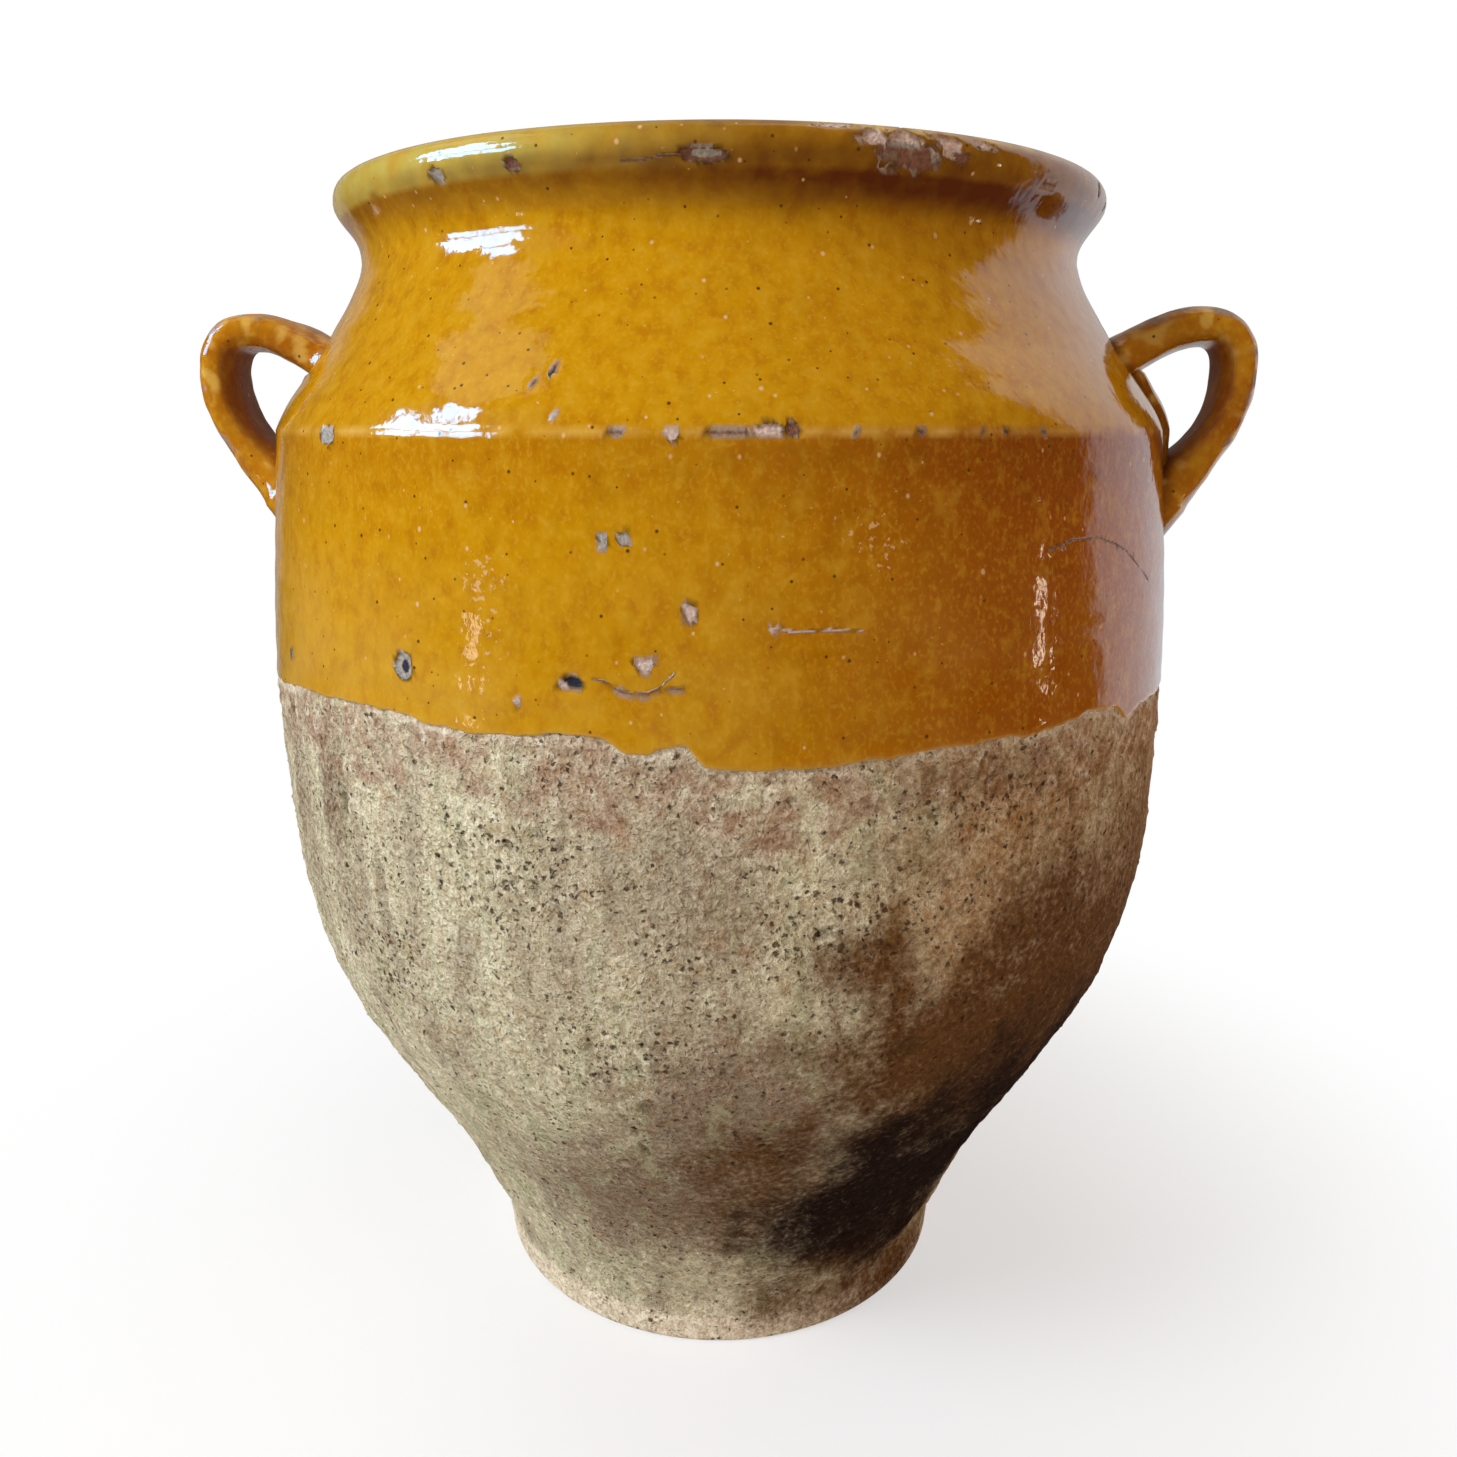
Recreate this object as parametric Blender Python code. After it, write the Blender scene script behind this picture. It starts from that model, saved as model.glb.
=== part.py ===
"""Two-handled earthenware grease pot, thrown, luted and dipped in a clear ochre glaze.

Run with: blender --background --python part.py

Frame: metres, +Z up, origin at the centre of the flat base, front towards -Y.
The pot is a thrown clay vessel with a foot, a flaring belly, a tall wall, a
sharp ridge, a sloping shoulder, a drawn-in neck and a flared rim.  Two pulled
strap handles are luted across the ridge, each over a smeared wad of clay.  A
coat of glaze covers the outside from a wavy dip line to the lip, and a second
one lines the inside.
"""

import math

import bmesh
import bpy
from mathutils import Vector

# Clearance and facets
FIT_GAP = 0.0003
ON_AXIS = 0.00003
SHARP_ANGLE = math.radians(40.0)
SEGMENTS = 52
STRAP_STEPS = 11
STRAP_SIDES = 14

# Outside of the vessel: rise of each station above the one below, and its radius.
# The belly, the foot of the wall and the ridge are drawn in from the wall's widest part.
FOOT_RADIUS = 0.0700
FOOT_EDGE_ROUND = 0.0020
FOOT_TOP_RADIUS = 0.0710
FOOT_RISE = 0.0125
FLARE_RADIUS = 0.0780
FLARE_RISE = 0.0170
STEM_RADIUS = 0.0889
STEM_RISE = 0.0235
CONE_RADIUS = 0.1051
CONE_RISE = 0.0275
BELLY_DRAWN_IN = 0.0099
BELLY_RISE = 0.0275
WALL_FOOT_DRAWN_IN = 0.0041
WALL_FOOT_RISE = 0.0230
WALL_RADIUS = 0.1292
WALL_RISE = 0.0560
RIDGE_DRAWN_IN = 0.0041
RIDGE_RISE = 0.0700
SHOULDER_RADIUS = 0.1098
SHOULDER_RISE = 0.0237
NECK_RADIUS = 0.1000
NECK_RISE = 0.0215

# Flared and rolled rim: the flare starts just below the neck and bends late
FLARE_DROP = 0.0026
FLARE_BEND = 1.4
RIM_PROJECTION = 0.0068
RIM_WIDTH = 0.0135
RIM_BAND_HEIGHT = 0.0110
RIM_RISE = 0.0063
RIM_FULLNESS = 2.5
RIM_STARTS_AT = math.radians(90.0)
RIM_ENDS_AT = math.radians(262.0)
LIP_STEP = 0.0018

# Thicknesses
WALL_THICKNESS = 0.0095
FLOOR_THICKNESS = 0.0130
FLOOR_CORNER_RADIUS = 0.0160
COAT_THICKNESS = 0.0008
COAT_STANDS_PROUD = 0.0003
LINING_THICKNESS = 0.0007

# Dip line of the outside glaze: mean height, tilt and waves, as angles from the front
DIP_HEIGHT = 0.1923
DIP_TILT = 0.0015
DIP_WAVE = 0.0018
DIP_WAVE_COUNT = 3
DIP_WAVE_PHASE = math.radians(40.0)

# Strap handles: places on the centre line, measured from the ridge
HANDLE_TIP_RISE = 0.0149
HANDLE_ROOT_RISE = 0.0190
HANDLE_TAIL_DROP = 0.0180
HANDLE_LEAVES_AT = math.radians(34.0)
HANDLE_ARRIVES_AT = math.radians(36.0)
HANDLE_LIFT = 0.0195
HANDLE_TIP_UPPER_PULL = 0.0170
HANDLE_TIP_LOWER_PULL = 0.0145
HANDLE_TAIL_PULL = 0.0120
ROOT_EMBED = 0.0070
TAIL_EMBED = 0.0100
STRAP_WIDTH = 0.0250
STRAP_THICKNESS = 0.0102
STRAP_ROOT_WIDTH = 0.0270
STRAP_ROOT_THICKNESS = 0.0116
STRAP_TAIL_WIDTH = 0.0285
STRAP_TAIL_THICKNESS = 0.0140
STRAP_FULLNESS = 2.6
ROOT_FLARE_SHARE = 0.30
TAIL_FLARE_SHARE = 0.30

# The pair was luted on by hand: each has its own turn towards the front and reach
LEFT_HANDLE_TURN = math.radians(3.0)
LEFT_HANDLE_REACH = 0.0187
RIGHT_HANDLE_TURN = math.radians(12.0)
RIGHT_HANDLE_REACH = 0.0180

# Luting wad smeared down the wall under each loop
WAD_WIDTH = 0.0210
WAD_TOP_THICKNESS = 0.0046
WAD_BOTTOM_THICKNESS = 0.0028
WAD_FULLNESS = 3.2
WAD_TOP_RISE = 0.0175
WAD_BOTTOM_DROP = 0.0140
WAD_STEPS = 5
WAD_SIDES = 6

# Rows of facets along each stretch of the profile
ROWS_BARE = 10
ROWS_COATED_WALL = 3
ROWS_SHOULDER = 6
ROWS_FLARE = 5
ROWS_RIM = 7
ROWS_INSIDE = 9
ROWS_FLOOR_CORNER = 3

# Radii and heights of the stations
BELLY_RADIUS = WALL_RADIUS - BELLY_DRAWN_IN
WALL_FOOT_RADIUS = WALL_RADIUS - WALL_FOOT_DRAWN_IN
RIDGE_RADIUS = WALL_RADIUS - RIDGE_DRAWN_IN
FOOT_TOP = FOOT_RISE
FLARE_HEIGHT = FOOT_TOP + FLARE_RISE
STEM_HEIGHT = FLARE_HEIGHT + STEM_RISE
CONE_HEIGHT = STEM_HEIGHT + CONE_RISE
BELLY_HEIGHT = CONE_HEIGHT + BELLY_RISE
WALL_FOOT_HEIGHT = BELLY_HEIGHT + WALL_FOOT_RISE
WALL_HEIGHT = WALL_FOOT_HEIGHT + WALL_RISE
RIDGE_HEIGHT = WALL_HEIGHT + RIDGE_RISE
SHOULDER_HEIGHT = RIDGE_HEIGHT + SHOULDER_RISE
NECK_HEIGHT = SHOULDER_HEIGHT + NECK_RISE
FLARE_START = NECK_HEIGHT - FLARE_DROP
RIM_FOOT_HEIGHT = NECK_HEIGHT + RIM_RISE
RIM_MIDDLE_HEIGHT = RIM_FOOT_HEIGHT + RIM_BAND_HEIGHT / 2
RIM_RADIUS = NECK_RADIUS + RIM_PROJECTION
RIM_CENTRE_RADIUS = RIM_RADIUS - RIM_WIDTH / 2

WALL_STATIONS = (
    (FOOT_TOP, FOOT_TOP_RADIUS),
    (FLARE_HEIGHT, FLARE_RADIUS),
    (STEM_HEIGHT, STEM_RADIUS),
    (CONE_HEIGHT, CONE_RADIUS),
    (BELLY_HEIGHT, BELLY_RADIUS),
    (WALL_FOOT_HEIGHT, WALL_FOOT_RADIUS),
    (WALL_HEIGHT, WALL_RADIUS),
    (RIDGE_HEIGHT, RIDGE_RADIUS),
)
SHOULDER_STATIONS = (
    (RIDGE_HEIGHT, RIDGE_RADIUS),
    (SHOULDER_HEIGHT, SHOULDER_RADIUS),
    (NECK_HEIGHT, NECK_RADIUS),
)
SHOULDER_START_SLOPE = (SHOULDER_RADIUS - RIDGE_RADIUS) / SHOULDER_RISE
NECK_SLOPE = 0.0
FOOT_SLOPE = (FOOT_TOP_RADIUS - FOOT_RADIUS) / FOOT_RISE


def clear_scene():
    for item in list(bpy.data.objects):
        bpy.data.objects.remove(item, do_unlink=True)


def make_material(name, colour, roughness):
    material = bpy.data.materials.new(name)
    material.use_nodes = True
    shader = material.node_tree.nodes["Principled BSDF"]
    shader.inputs["Base Color"].default_value = (*colour, 1.0)
    shader.inputs["Roughness"].default_value = roughness
    shader.inputs["Metallic"].default_value = 0.0
    material.diffuse_color = (*colour, 1.0)
    return material


def make_object(name, bm, material=None):
    """Turn a closed bmesh into an object whose faces point outwards."""
    bmesh.ops.recalc_face_normals(bm, faces=bm.faces[:])
    if bm.calc_volume(signed=True) < 0:
        bmesh.ops.reverse_faces(bm, faces=bm.faces[:])
    mesh = bpy.data.meshes.new(name)
    bm.to_mesh(mesh)
    bm.free()
    mesh.shade_smooth()
    mesh.set_sharp_from_angle(angle=SHARP_ANGLE)
    item = bpy.data.objects.new(name, mesh)
    bpy.context.scene.collection.objects.link(item)
    if material:
        mesh.materials.append(material)
    return item


def mark_cutter(item):
    item.hide_render = True
    item.display_type = "WIRE"
    return item


def cut(item, cutter, name):
    """Take the cutter's volume out of the item."""
    modifier = item.modifiers.new(name, "BOOLEAN")
    modifier.operation = "DIFFERENCE"
    modifier.solver = "EXACT"
    modifier.object = cutter


# Curves of the profile, each a radius that depends on the height


def slopes_of(stations, first_slope=None, last_slope=None):
    """Slope at each station, from its neighbours on both sides."""
    rises = [b[0] - a[0] for a, b in zip(stations, stations[1:])]
    steps = [(b[1] - a[1]) / rise for a, b, rise in zip(stations, stations[1:], rises)]
    slopes = [steps[0] if first_slope is None else first_slope]
    for i in range(1, len(stations) - 1):
        below, above = rises[i - 1], rises[i]
        slopes.append((steps[i - 1] * above + steps[i] * below) / (below + above))
    slopes.append(steps[-1] if last_slope is None else last_slope)
    return slopes


def smooth_radius(height, stations, slopes):
    """Radius at a height, on cubic pieces that pass through every station."""
    last = len(stations) - 2
    index = next((i for i in range(last) if height <= stations[i + 1][0]), last)
    (z0, r0), (z1, r1) = stations[index], stations[index + 1]
    span = z1 - z0
    t = (height - z0) / span
    return (
        r0 * (1 + 2 * t) * (1 - t) ** 2
        + slopes[index] * span * t * (1 - t) ** 2
        + r1 * t * t * (3 - 2 * t)
        + slopes[index + 1] * span * t * t * (t - 1)
    )


WALL_SLOPES = slopes_of(WALL_STATIONS, FOOT_SLOPE)
SHOULDER_SLOPES = slopes_of(SHOULDER_STATIONS, SHOULDER_START_SLOPE, NECK_SLOPE)


def outside_radius(height):
    """Radius of the finished outside, from the top of the foot to the neck."""
    if height <= RIDGE_HEIGHT:
        return smooth_radius(height, WALL_STATIONS, WALL_SLOPES)
    return smooth_radius(height, SHOULDER_STATIONS, SHOULDER_SLOPES)


def inside_radius(height):
    """Radius of the finished inside, one wall thickness in."""
    return outside_radius(height) - WALL_THICKNESS


def dip_height(angle):
    """Height of the glaze's lower edge at an angle round the pot from the front."""
    wave = DIP_WAVE * math.cos(DIP_WAVE_COUNT * (angle + DIP_WAVE_PHASE))
    return DIP_HEIGHT - DIP_TILT * math.sin(angle) + wave


def spread(low, high, count):
    """Evenly spaced values from low, with high left out."""
    return [low + (high - low) * i / count for i in range(count)]


def rim_section(turn):
    """Point of the rolled rim at a turn from straight down, anticlockwise."""
    across, up = math.sin(turn), -math.cos(turn)
    power = 2.0 / RIM_FULLNESS
    x = math.copysign(abs(across) ** power, across) * RIM_WIDTH / 2
    z = math.copysign(abs(up) ** power, up) * RIM_BAND_HEIGHT / 2
    return (RIM_CENTRE_RADIUS + x, RIM_MIDDLE_HEIGHT + z)


def with_normals(points):
    """Pair each point with the direction out of the clay, to the right of travel."""
    rows = []
    last = len(points) - 1
    for i, point in enumerate(points):
        here = Vector(point)
        arriving = (here - Vector(points[i - 1])).normalized() if i else Vector((0.0, 1.0))
        leaving = (Vector(points[i + 1]) - here).normalized() if i < last else Vector((-1.0, 0.0))
        travel = (arriving + leaving).normalized()
        rows.append((here, Vector((travel.y, -travel.x))))
    return rows


def flare_radius(height):
    """Radius of the flare below the rim's widest part, an S that bends late."""
    share = ((height - FLARE_START) / (RIM_MIDDLE_HEIGHT - FLARE_START)) ** FLARE_BEND
    start = outside_radius(FLARE_START)
    return start + (RIM_RADIUS - start) * share * share * (3 - 2 * share)


def rim_points():
    """The rim, from the foot of the flare over the crest to the inner side."""
    flare = [(flare_radius(z), z) for z in spread(FLARE_START, RIM_MIDDLE_HEIGHT, ROWS_FLARE)]
    step = (RIM_ENDS_AT - RIM_STARTS_AT) / (ROWS_RIM - 1)
    return flare + [rim_section(RIM_STARTS_AT + step * i) for i in range(ROWS_RIM)]


def inside_points():
    """The inside, from below the lip down to the centre of the floor."""
    top = NECK_HEIGHT
    corner_top = FLOOR_THICKNESS + FLOOR_CORNER_RADIUS
    points = [(inside_radius(z), z) for z in spread(top, corner_top, ROWS_INSIDE)]
    corner_radius = inside_radius(corner_top)
    centre = (corner_radius - FLOOR_CORNER_RADIUS, corner_top)
    for i in range(ROWS_FLOOR_CORNER + 1):
        angle = math.pi / 2 * i / ROWS_FLOOR_CORNER
        x = centre[0] + FLOOR_CORNER_RADIUS * math.cos(angle)
        points.append((x, centre[1] - FLOOR_CORNER_RADIUS * math.sin(angle)))
    points.append((0.0, FLOOR_THICKNESS))
    return points


def glazed_rows(angle):
    """The glazed surface, as points with normals out of the clay.

    Returns the outside coat's rows, from the dip line over the rim to the lip,
    and the lining's rows, from just below them to the centre of the floor.
    """
    dip = dip_height(angle)
    wall = [(outside_radius(z), z) for z in spread(dip, RIDGE_HEIGHT, ROWS_COATED_WALL)]
    shoulder = [(outside_radius(z), z) for z in spread(RIDGE_HEIGHT, FLARE_START, ROWS_SHOULDER)]
    outside = wall + shoulder + rim_points()
    lip = Vector((inside_radius(NECK_HEIGHT) + LIP_STEP, RIM_FOOT_HEIGHT - LIP_STEP))
    inside = inside_points()
    seam = lip + (Vector(inside[0]) - lip).normalized() * FIT_GAP
    rows = with_normals(outside + [tuple(lip), tuple(seam)] + inside)
    coat_count = len(outside) + 1
    return rows[:coat_count], rows[coat_count:]


def bare_points(angle):
    """The unglazed outside, from the centre of the base up to the dip line."""
    edge = FOOT_EDGE_ROUND
    inset = edge * (1 - math.cos(math.pi / 4))
    points = [(0.0, 0.0), (FOOT_RADIUS - edge, 0.0)]
    points.append((FOOT_RADIUS - inset, inset))
    points.append((FOOT_RADIUS, edge))
    top = dip_height(angle) - FIT_GAP
    for z in spread(FOOT_TOP, top, ROWS_BARE) + [top]:
        points.append((outside_radius(z) - COAT_STANDS_PROUD, z))
    return points


def sunk(rows, depth):
    """Points of the rows, moved into the clay by a depth."""
    return [tuple(point - normal * depth) for point, normal in rows]


# Outlines in the half plane at each angle, turned round the axis by lathe


def vessel_outline(angle):
    coat, lining = glazed_rows(angle)
    outside = sunk(coat, COAT_THICKNESS + FIT_GAP)
    outside[0] = (outside[0][0], dip_height(angle) - FIT_GAP)
    inside = sunk(lining, LINING_THICKNESS + FIT_GAP)
    return bare_points(angle) + outside + inside


def coat_outline(angle):
    coat, _ = glazed_rows(angle)
    return sunk(coat, 0.0) + sunk(coat, COAT_THICKNESS)[::-1]


def lining_outline(angle):
    _, lining = glazed_rows(angle)
    return sunk(lining, LINING_THICKNESS)[::-1] + sunk(lining, 0.0)


def seat_outline(angle):
    """What the clay wall takes up, grown by the gap, to trim the roots that meet it."""
    coat, _ = glazed_rows(angle)
    skin = sunk(coat[: ROWS_COATED_WALL + ROWS_SHOULDER + 1], COAT_THICKNESS)
    return [(0.0, skin[0][1])] + skin + [(0.0, skin[-1][1])]


def lathe(name, outline_at, ring, material=None):
    """Turn an outline, which may change with the angle, into a closed solid.

    ring is True for an outline that closes on itself away from the axis.  Angle
    0 is the front, towards -Y, and angles grow towards +X.
    """
    bm = bmesh.new()
    columns = []
    first = outline_at(0.0)
    on_axis = [abs(point[0]) < ON_AXIS for point in first]
    poles = [bm.verts.new((0.0, 0.0, point[1])) if pole else None for point, pole in zip(first, on_axis)]
    for segment in range(SEGMENTS):
        angle = 2 * math.pi * segment / SEGMENTS
        column = []
        for (radius, height), pole in zip(outline_at(angle), poles):
            place = (radius * math.sin(angle), -radius * math.cos(angle), height)
            column.append(pole or bm.verts.new(place))
        columns.append(column)
    count = len(first)
    for left, right in zip(columns, columns[1:] + columns[:1]):
        for i in range(count if ring else count - 1):
            j = (i + 1) % count
            corners = [left[i], right[i], right[j], left[j]]
            distinct = [v for k, v in enumerate(corners) if v not in corners[:k]]
            if len(distinct) > 2:
                bm.faces.new(distinct)
    return make_object(name, bm, material)


# Handles: a pulled strap swept along a centre line in its own upright plane


def bezier(points, t):
    a, b, c, d = (Vector(point) for point in points)
    s = 1 - t
    return a * s**3 + b * (3 * s * s * t) + c * (3 * s * t * t) + d * t**3


def strap_centre_line(reach):
    """Points of the strap's centre line, out and up from the shoulder, down to the wall.

    Both ends run on into the clay, where the wall trims them.
    """
    root = Vector((outside_radius(RIDGE_HEIGHT + HANDLE_ROOT_RISE), RIDGE_HEIGHT + HANDLE_ROOT_RISE))
    leaving = Vector((math.cos(HANDLE_LEAVES_AT), math.sin(HANDLE_LEAVES_AT)))
    tip = Vector((RIDGE_RADIUS + reach, RIDGE_HEIGHT + HANDLE_TIP_RISE))
    tail = Vector((outside_radius(RIDGE_HEIGHT - HANDLE_TAIL_DROP), RIDGE_HEIGHT - HANDLE_TAIL_DROP))
    arriving = Vector((-math.sin(HANDLE_ARRIVES_AT), -math.cos(HANDLE_ARRIVES_AT)))
    upper = (root, root + leaving * HANDLE_LIFT, tip + Vector((0, HANDLE_TIP_UPPER_PULL)), tip)
    lower = (tip, tip - Vector((0, HANDLE_TIP_LOWER_PULL)), tail - arriving * HANDLE_TAIL_PULL, tail)
    line = [root - leaving * ROOT_EMBED]
    line += [bezier(upper, i / STRAP_STEPS) for i in range(STRAP_STEPS)]
    line += [bezier(lower, i / STRAP_STEPS) for i in range(STRAP_STEPS + 1)]
    line.append(tail + arriving * TAIL_EMBED)
    return line


def ease(value):
    """Smooth step from 0 to 1."""
    value = min(max(value, 0.0), 1.0)
    return value * value * (3 - 2 * value)


def strap_size(along):
    """Width and thickness of the strap, a share of the way from root to tail."""
    root_share = ease(1 - along / ROOT_FLARE_SHARE)
    tail_share = ease((along - 1 + TAIL_FLARE_SHARE) / TAIL_FLARE_SHARE)
    width = STRAP_WIDTH + (STRAP_ROOT_WIDTH - STRAP_WIDTH) * root_share
    width += (STRAP_TAIL_WIDTH - STRAP_WIDTH) * tail_share
    thickness = STRAP_THICKNESS + (STRAP_ROOT_THICKNESS - STRAP_THICKNESS) * root_share
    thickness += (STRAP_TAIL_THICKNESS - STRAP_THICKNESS) * tail_share
    return width, thickness


def rounded(angle, width, thickness, fullness):
    """Point of a rounded strap section at an angle, as across and outwards."""
    c, s = math.cos(angle), math.sin(angle)
    across = math.copysign(abs(c) ** (2 / fullness), c) * width / 2
    out = math.copysign(abs(s) ** (2 / fullness), s) * thickness / 2
    return across, out


def place_in_handle_plane(side, turn, radius, across, height):
    """World place of a point in a handle's plane, turned from the X axis to the front."""
    x = radius * math.cos(turn) + across * math.sin(turn)
    y = -radius * math.sin(turn) + across * math.cos(turn)
    return (side * x, y, height)


def bridge_sections(bm, sections):
    """Join rings of vertices in order and close both ends."""
    for lower, upper in zip(sections, sections[1:]):
        for i, vertex in enumerate(lower):
            j = (i + 1) % len(lower)
            bm.faces.new((vertex, lower[j], upper[j], upper[i]))
    bm.faces.new(sections[0][::-1])
    bm.faces.new(sections[-1])


def build_strap(name, side, turn, reach, grow=0.0, material=None):
    """Sweep the rounded strap; grow makes it larger all round for a cutter."""
    bm = bmesh.new()
    line = strap_centre_line(reach)
    sections = []
    for i, centre in enumerate(line):
        before, after = line[max(i - 1, 0)], line[min(i + 1, len(line) - 1)]
        travel = (after - before).normalized()
        out = Vector((-travel.y, travel.x))
        width, thickness = strap_size(i / (len(line) - 1))
        ring = []
        for k in range(STRAP_SIDES):
            angle = 2 * math.pi * k / STRAP_SIDES
            across, off = rounded(angle, width + 2 * grow, thickness + 2 * grow, STRAP_FULLNESS)
            point = centre + out * off
            ring.append(bm.verts.new(place_in_handle_plane(side, turn, point.x, across, point.y)))
        sections.append(ring)
    if grow:
        extend_ends(sections, grow)
    bridge_sections(bm, sections)
    return make_object(name, bm, material)


def extend_ends(sections, distance):
    """Push the first and last ring outwards, along their own normals."""
    for ring, neighbour in ((sections[0], sections[1]), (sections[-1], sections[-2])):
        here = sum((v.co for v in ring), Vector()) / len(ring)
        inward = sum((v.co for v in neighbour), Vector()) / len(ring)
        shift = (here - inward).normalized() * distance
        for vertex in ring:
            vertex.co += shift


def build_wad(name, side, turn, grow=0.0, material=None):
    """Strip of luting clay that follows the wall over the ridge, under the loop."""
    bm = bmesh.new()
    top = RIDGE_HEIGHT + WAD_TOP_RISE
    bottom = RIDGE_HEIGHT - WAD_BOTTOM_DROP
    heights = spread(bottom, RIDGE_HEIGHT, WAD_STEPS) + spread(RIDGE_HEIGHT, top, WAD_STEPS) + [top]
    half = WAD_WIDTH / 2 + grow
    sections = []
    for height in heights:
        section = []
        share = (height - bottom) / (top - bottom)
        thickness = WAD_BOTTOM_THICKNESS + (WAD_TOP_THICKNESS - WAD_BOTTOM_THICKNESS) * ease(share)
        base = outside_radius(height) - COAT_THICKNESS - FIT_GAP
        for k in range(WAD_SIDES + 1):
            across = -1 + 2 * k / WAD_SIDES
            swell = (1 - abs(across) ** WAD_FULLNESS) ** (1 / WAD_FULLNESS)
            radius = base + (thickness + grow) * swell
            section.append(place_in_handle_plane(side, turn, radius, across * half, height))
        for across in (1.0, 0.0, -1.0):
            section.append(place_in_handle_plane(side, turn, base - thickness, across * half, height))
        sections.append([bm.verts.new(place) for place in section])
    bridge_sections(bm, sections)
    return make_object(name, bm, material)


def main():
    clear_scene()
    clay = make_material("bare_earthenware", (0.42, 0.33, 0.24), 0.9)
    amber = make_material("ochre_glaze", (0.66, 0.33, 0.02), 0.16)
    honey = make_material("lining_glaze", (0.58, 0.36, 0.08), 0.25)
    glazed_clay = make_material("glazed_strap_clay", (0.54, 0.25, 0.02), 0.2)
    wad_clay = make_material("luting_clay", (0.50, 0.24, 0.03), 0.3)

    lathe("clay_vessel", vessel_outline, False, clay)
    coat = lathe("glaze_outside", coat_outline, True, amber)
    lathe("glaze_inside", lining_outline, False, honey)

    seat = mark_cutter(lathe("wall_seat_cutter", seat_outline, False))
    pair = (
        ("left", -1, LEFT_HANDLE_TURN, LEFT_HANDLE_REACH),
        ("right", 1, RIGHT_HANDLE_TURN, RIGHT_HANDLE_REACH),
    )
    for label, side, turn, reach in pair:
        strap_room = mark_cutter(build_strap(f"{label}_strap_room", side, turn, reach, FIT_GAP))
        wad_room = mark_cutter(build_wad(f"{label}_wad_room", side, turn, FIT_GAP))
        handle = build_strap(f"handle_{label}", side, turn, reach, 0.0, glazed_clay)
        wad = build_wad(f"luting_wad_{label}", side, turn, 0.0, wad_clay)
        cut(handle, seat, "trim_to_wall")
        cut(wad, seat, "trim_to_wall")
        cut(wad, strap_room, "trim_to_strap")
        cut(coat, strap_room, f"{label}_strap_opening")
        cut(coat, wad_room, f"{label}_wad_opening")


main()
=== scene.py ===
"""Looks of a two-handled earthenware grease pot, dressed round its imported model.

The pot is thrown from buff clay, bare below and dipped above in a clear ochre glaze
that breaks brown under the rim.  Two pulled straps are luted across the ridge.  Knocks,
stains and kiln marks are placed by their angle round the pot, in degrees from the
front towards the right, and by their height.
"""

import logging
import math
from collections.abc import Sequence
from dataclasses import dataclass
from enum import Enum

import bmesh
import bpy
import numpy as np
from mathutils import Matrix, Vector, noise


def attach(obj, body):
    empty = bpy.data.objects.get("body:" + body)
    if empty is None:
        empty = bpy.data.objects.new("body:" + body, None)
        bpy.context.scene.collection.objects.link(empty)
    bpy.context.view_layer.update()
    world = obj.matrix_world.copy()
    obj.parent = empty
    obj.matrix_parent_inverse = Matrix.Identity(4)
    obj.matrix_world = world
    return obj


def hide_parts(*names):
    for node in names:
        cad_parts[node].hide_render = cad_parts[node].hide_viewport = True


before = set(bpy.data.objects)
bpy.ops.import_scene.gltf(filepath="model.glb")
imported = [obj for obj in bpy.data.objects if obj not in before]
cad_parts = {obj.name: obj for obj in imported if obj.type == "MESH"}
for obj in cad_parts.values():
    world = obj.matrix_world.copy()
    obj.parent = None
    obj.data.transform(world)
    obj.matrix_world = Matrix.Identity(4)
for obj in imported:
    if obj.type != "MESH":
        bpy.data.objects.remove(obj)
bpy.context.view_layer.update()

log = logging.getLogger("grease_pot")

MM = 0.001
PIT_SEED = 41
MERGE = 0.01 * MM
WALL_RADIUS = 129.0 * MM
RIM_SPACING_SHARE = 0.72
CUBIC_CENTIMETRES = 1e6

MATH, VECTOR, RANGE, MIX = "ShaderNodeMath", "ShaderNodeVectorMath", "ShaderNodeMapRange", "ShaderNodeMix"
NOISE, CELLS = "ShaderNodeTexNoise", "ShaderNodeTexVoronoi"
BUMP, VALUE = "ShaderNodeBump", "ShaderNodeAttribute"
Outputs = bpy.types.bpy_prop_collection


def linear(code: str) -> tuple[float, float, float, float]:
    """Turn an sRGB hex colour into linear light.

    Args:
        code: six hex digits, with or without a leading hash.

    Returns:
        Red, green and blue in linear light, and full alpha.
    """
    digits = code.lstrip("#")
    channels = [int(digits[i : i + 2], 16) / 255 for i in (0, 2, 4)]
    light = [c / 12.92 if c <= 0.04045 else ((c + 0.055) / 1.055) ** 2.4 for c in channels]
    return (*light, 1.0)


def add(tree: bpy.types.NodeTree, kind: str, feeds: dict | None = None, **settings: object) -> Outputs:
    """Add a node, set its properties and feed its inputs.

    Args:
        tree: the node tree.
        kind: the node's type name.
        feeds: input name or index, with the value or the output socket that feeds it.
        settings: the node's own properties, set before its inputs.

    Returns:
        The new node's outputs.
    """
    node = tree.nodes.new(kind)
    for name, value in settings.items():
        setattr(node, name, value)
    for key, value in (feeds or {}).items():
        if isinstance(value, bpy.types.NodeSocket):
            tree.links.new(value, node.inputs[key])
        else:
            node.inputs[key].default_value = value
    return node.outputs


def ease(value: np.ndarray, low: float, high: float) -> np.ndarray:
    """Bring each value smoothly from 0 at low to 1 at high."""
    t = np.clip((value - low) / (high - low), 0.0, 1.0)
    return t * t * (3 - 2 * t)


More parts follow.
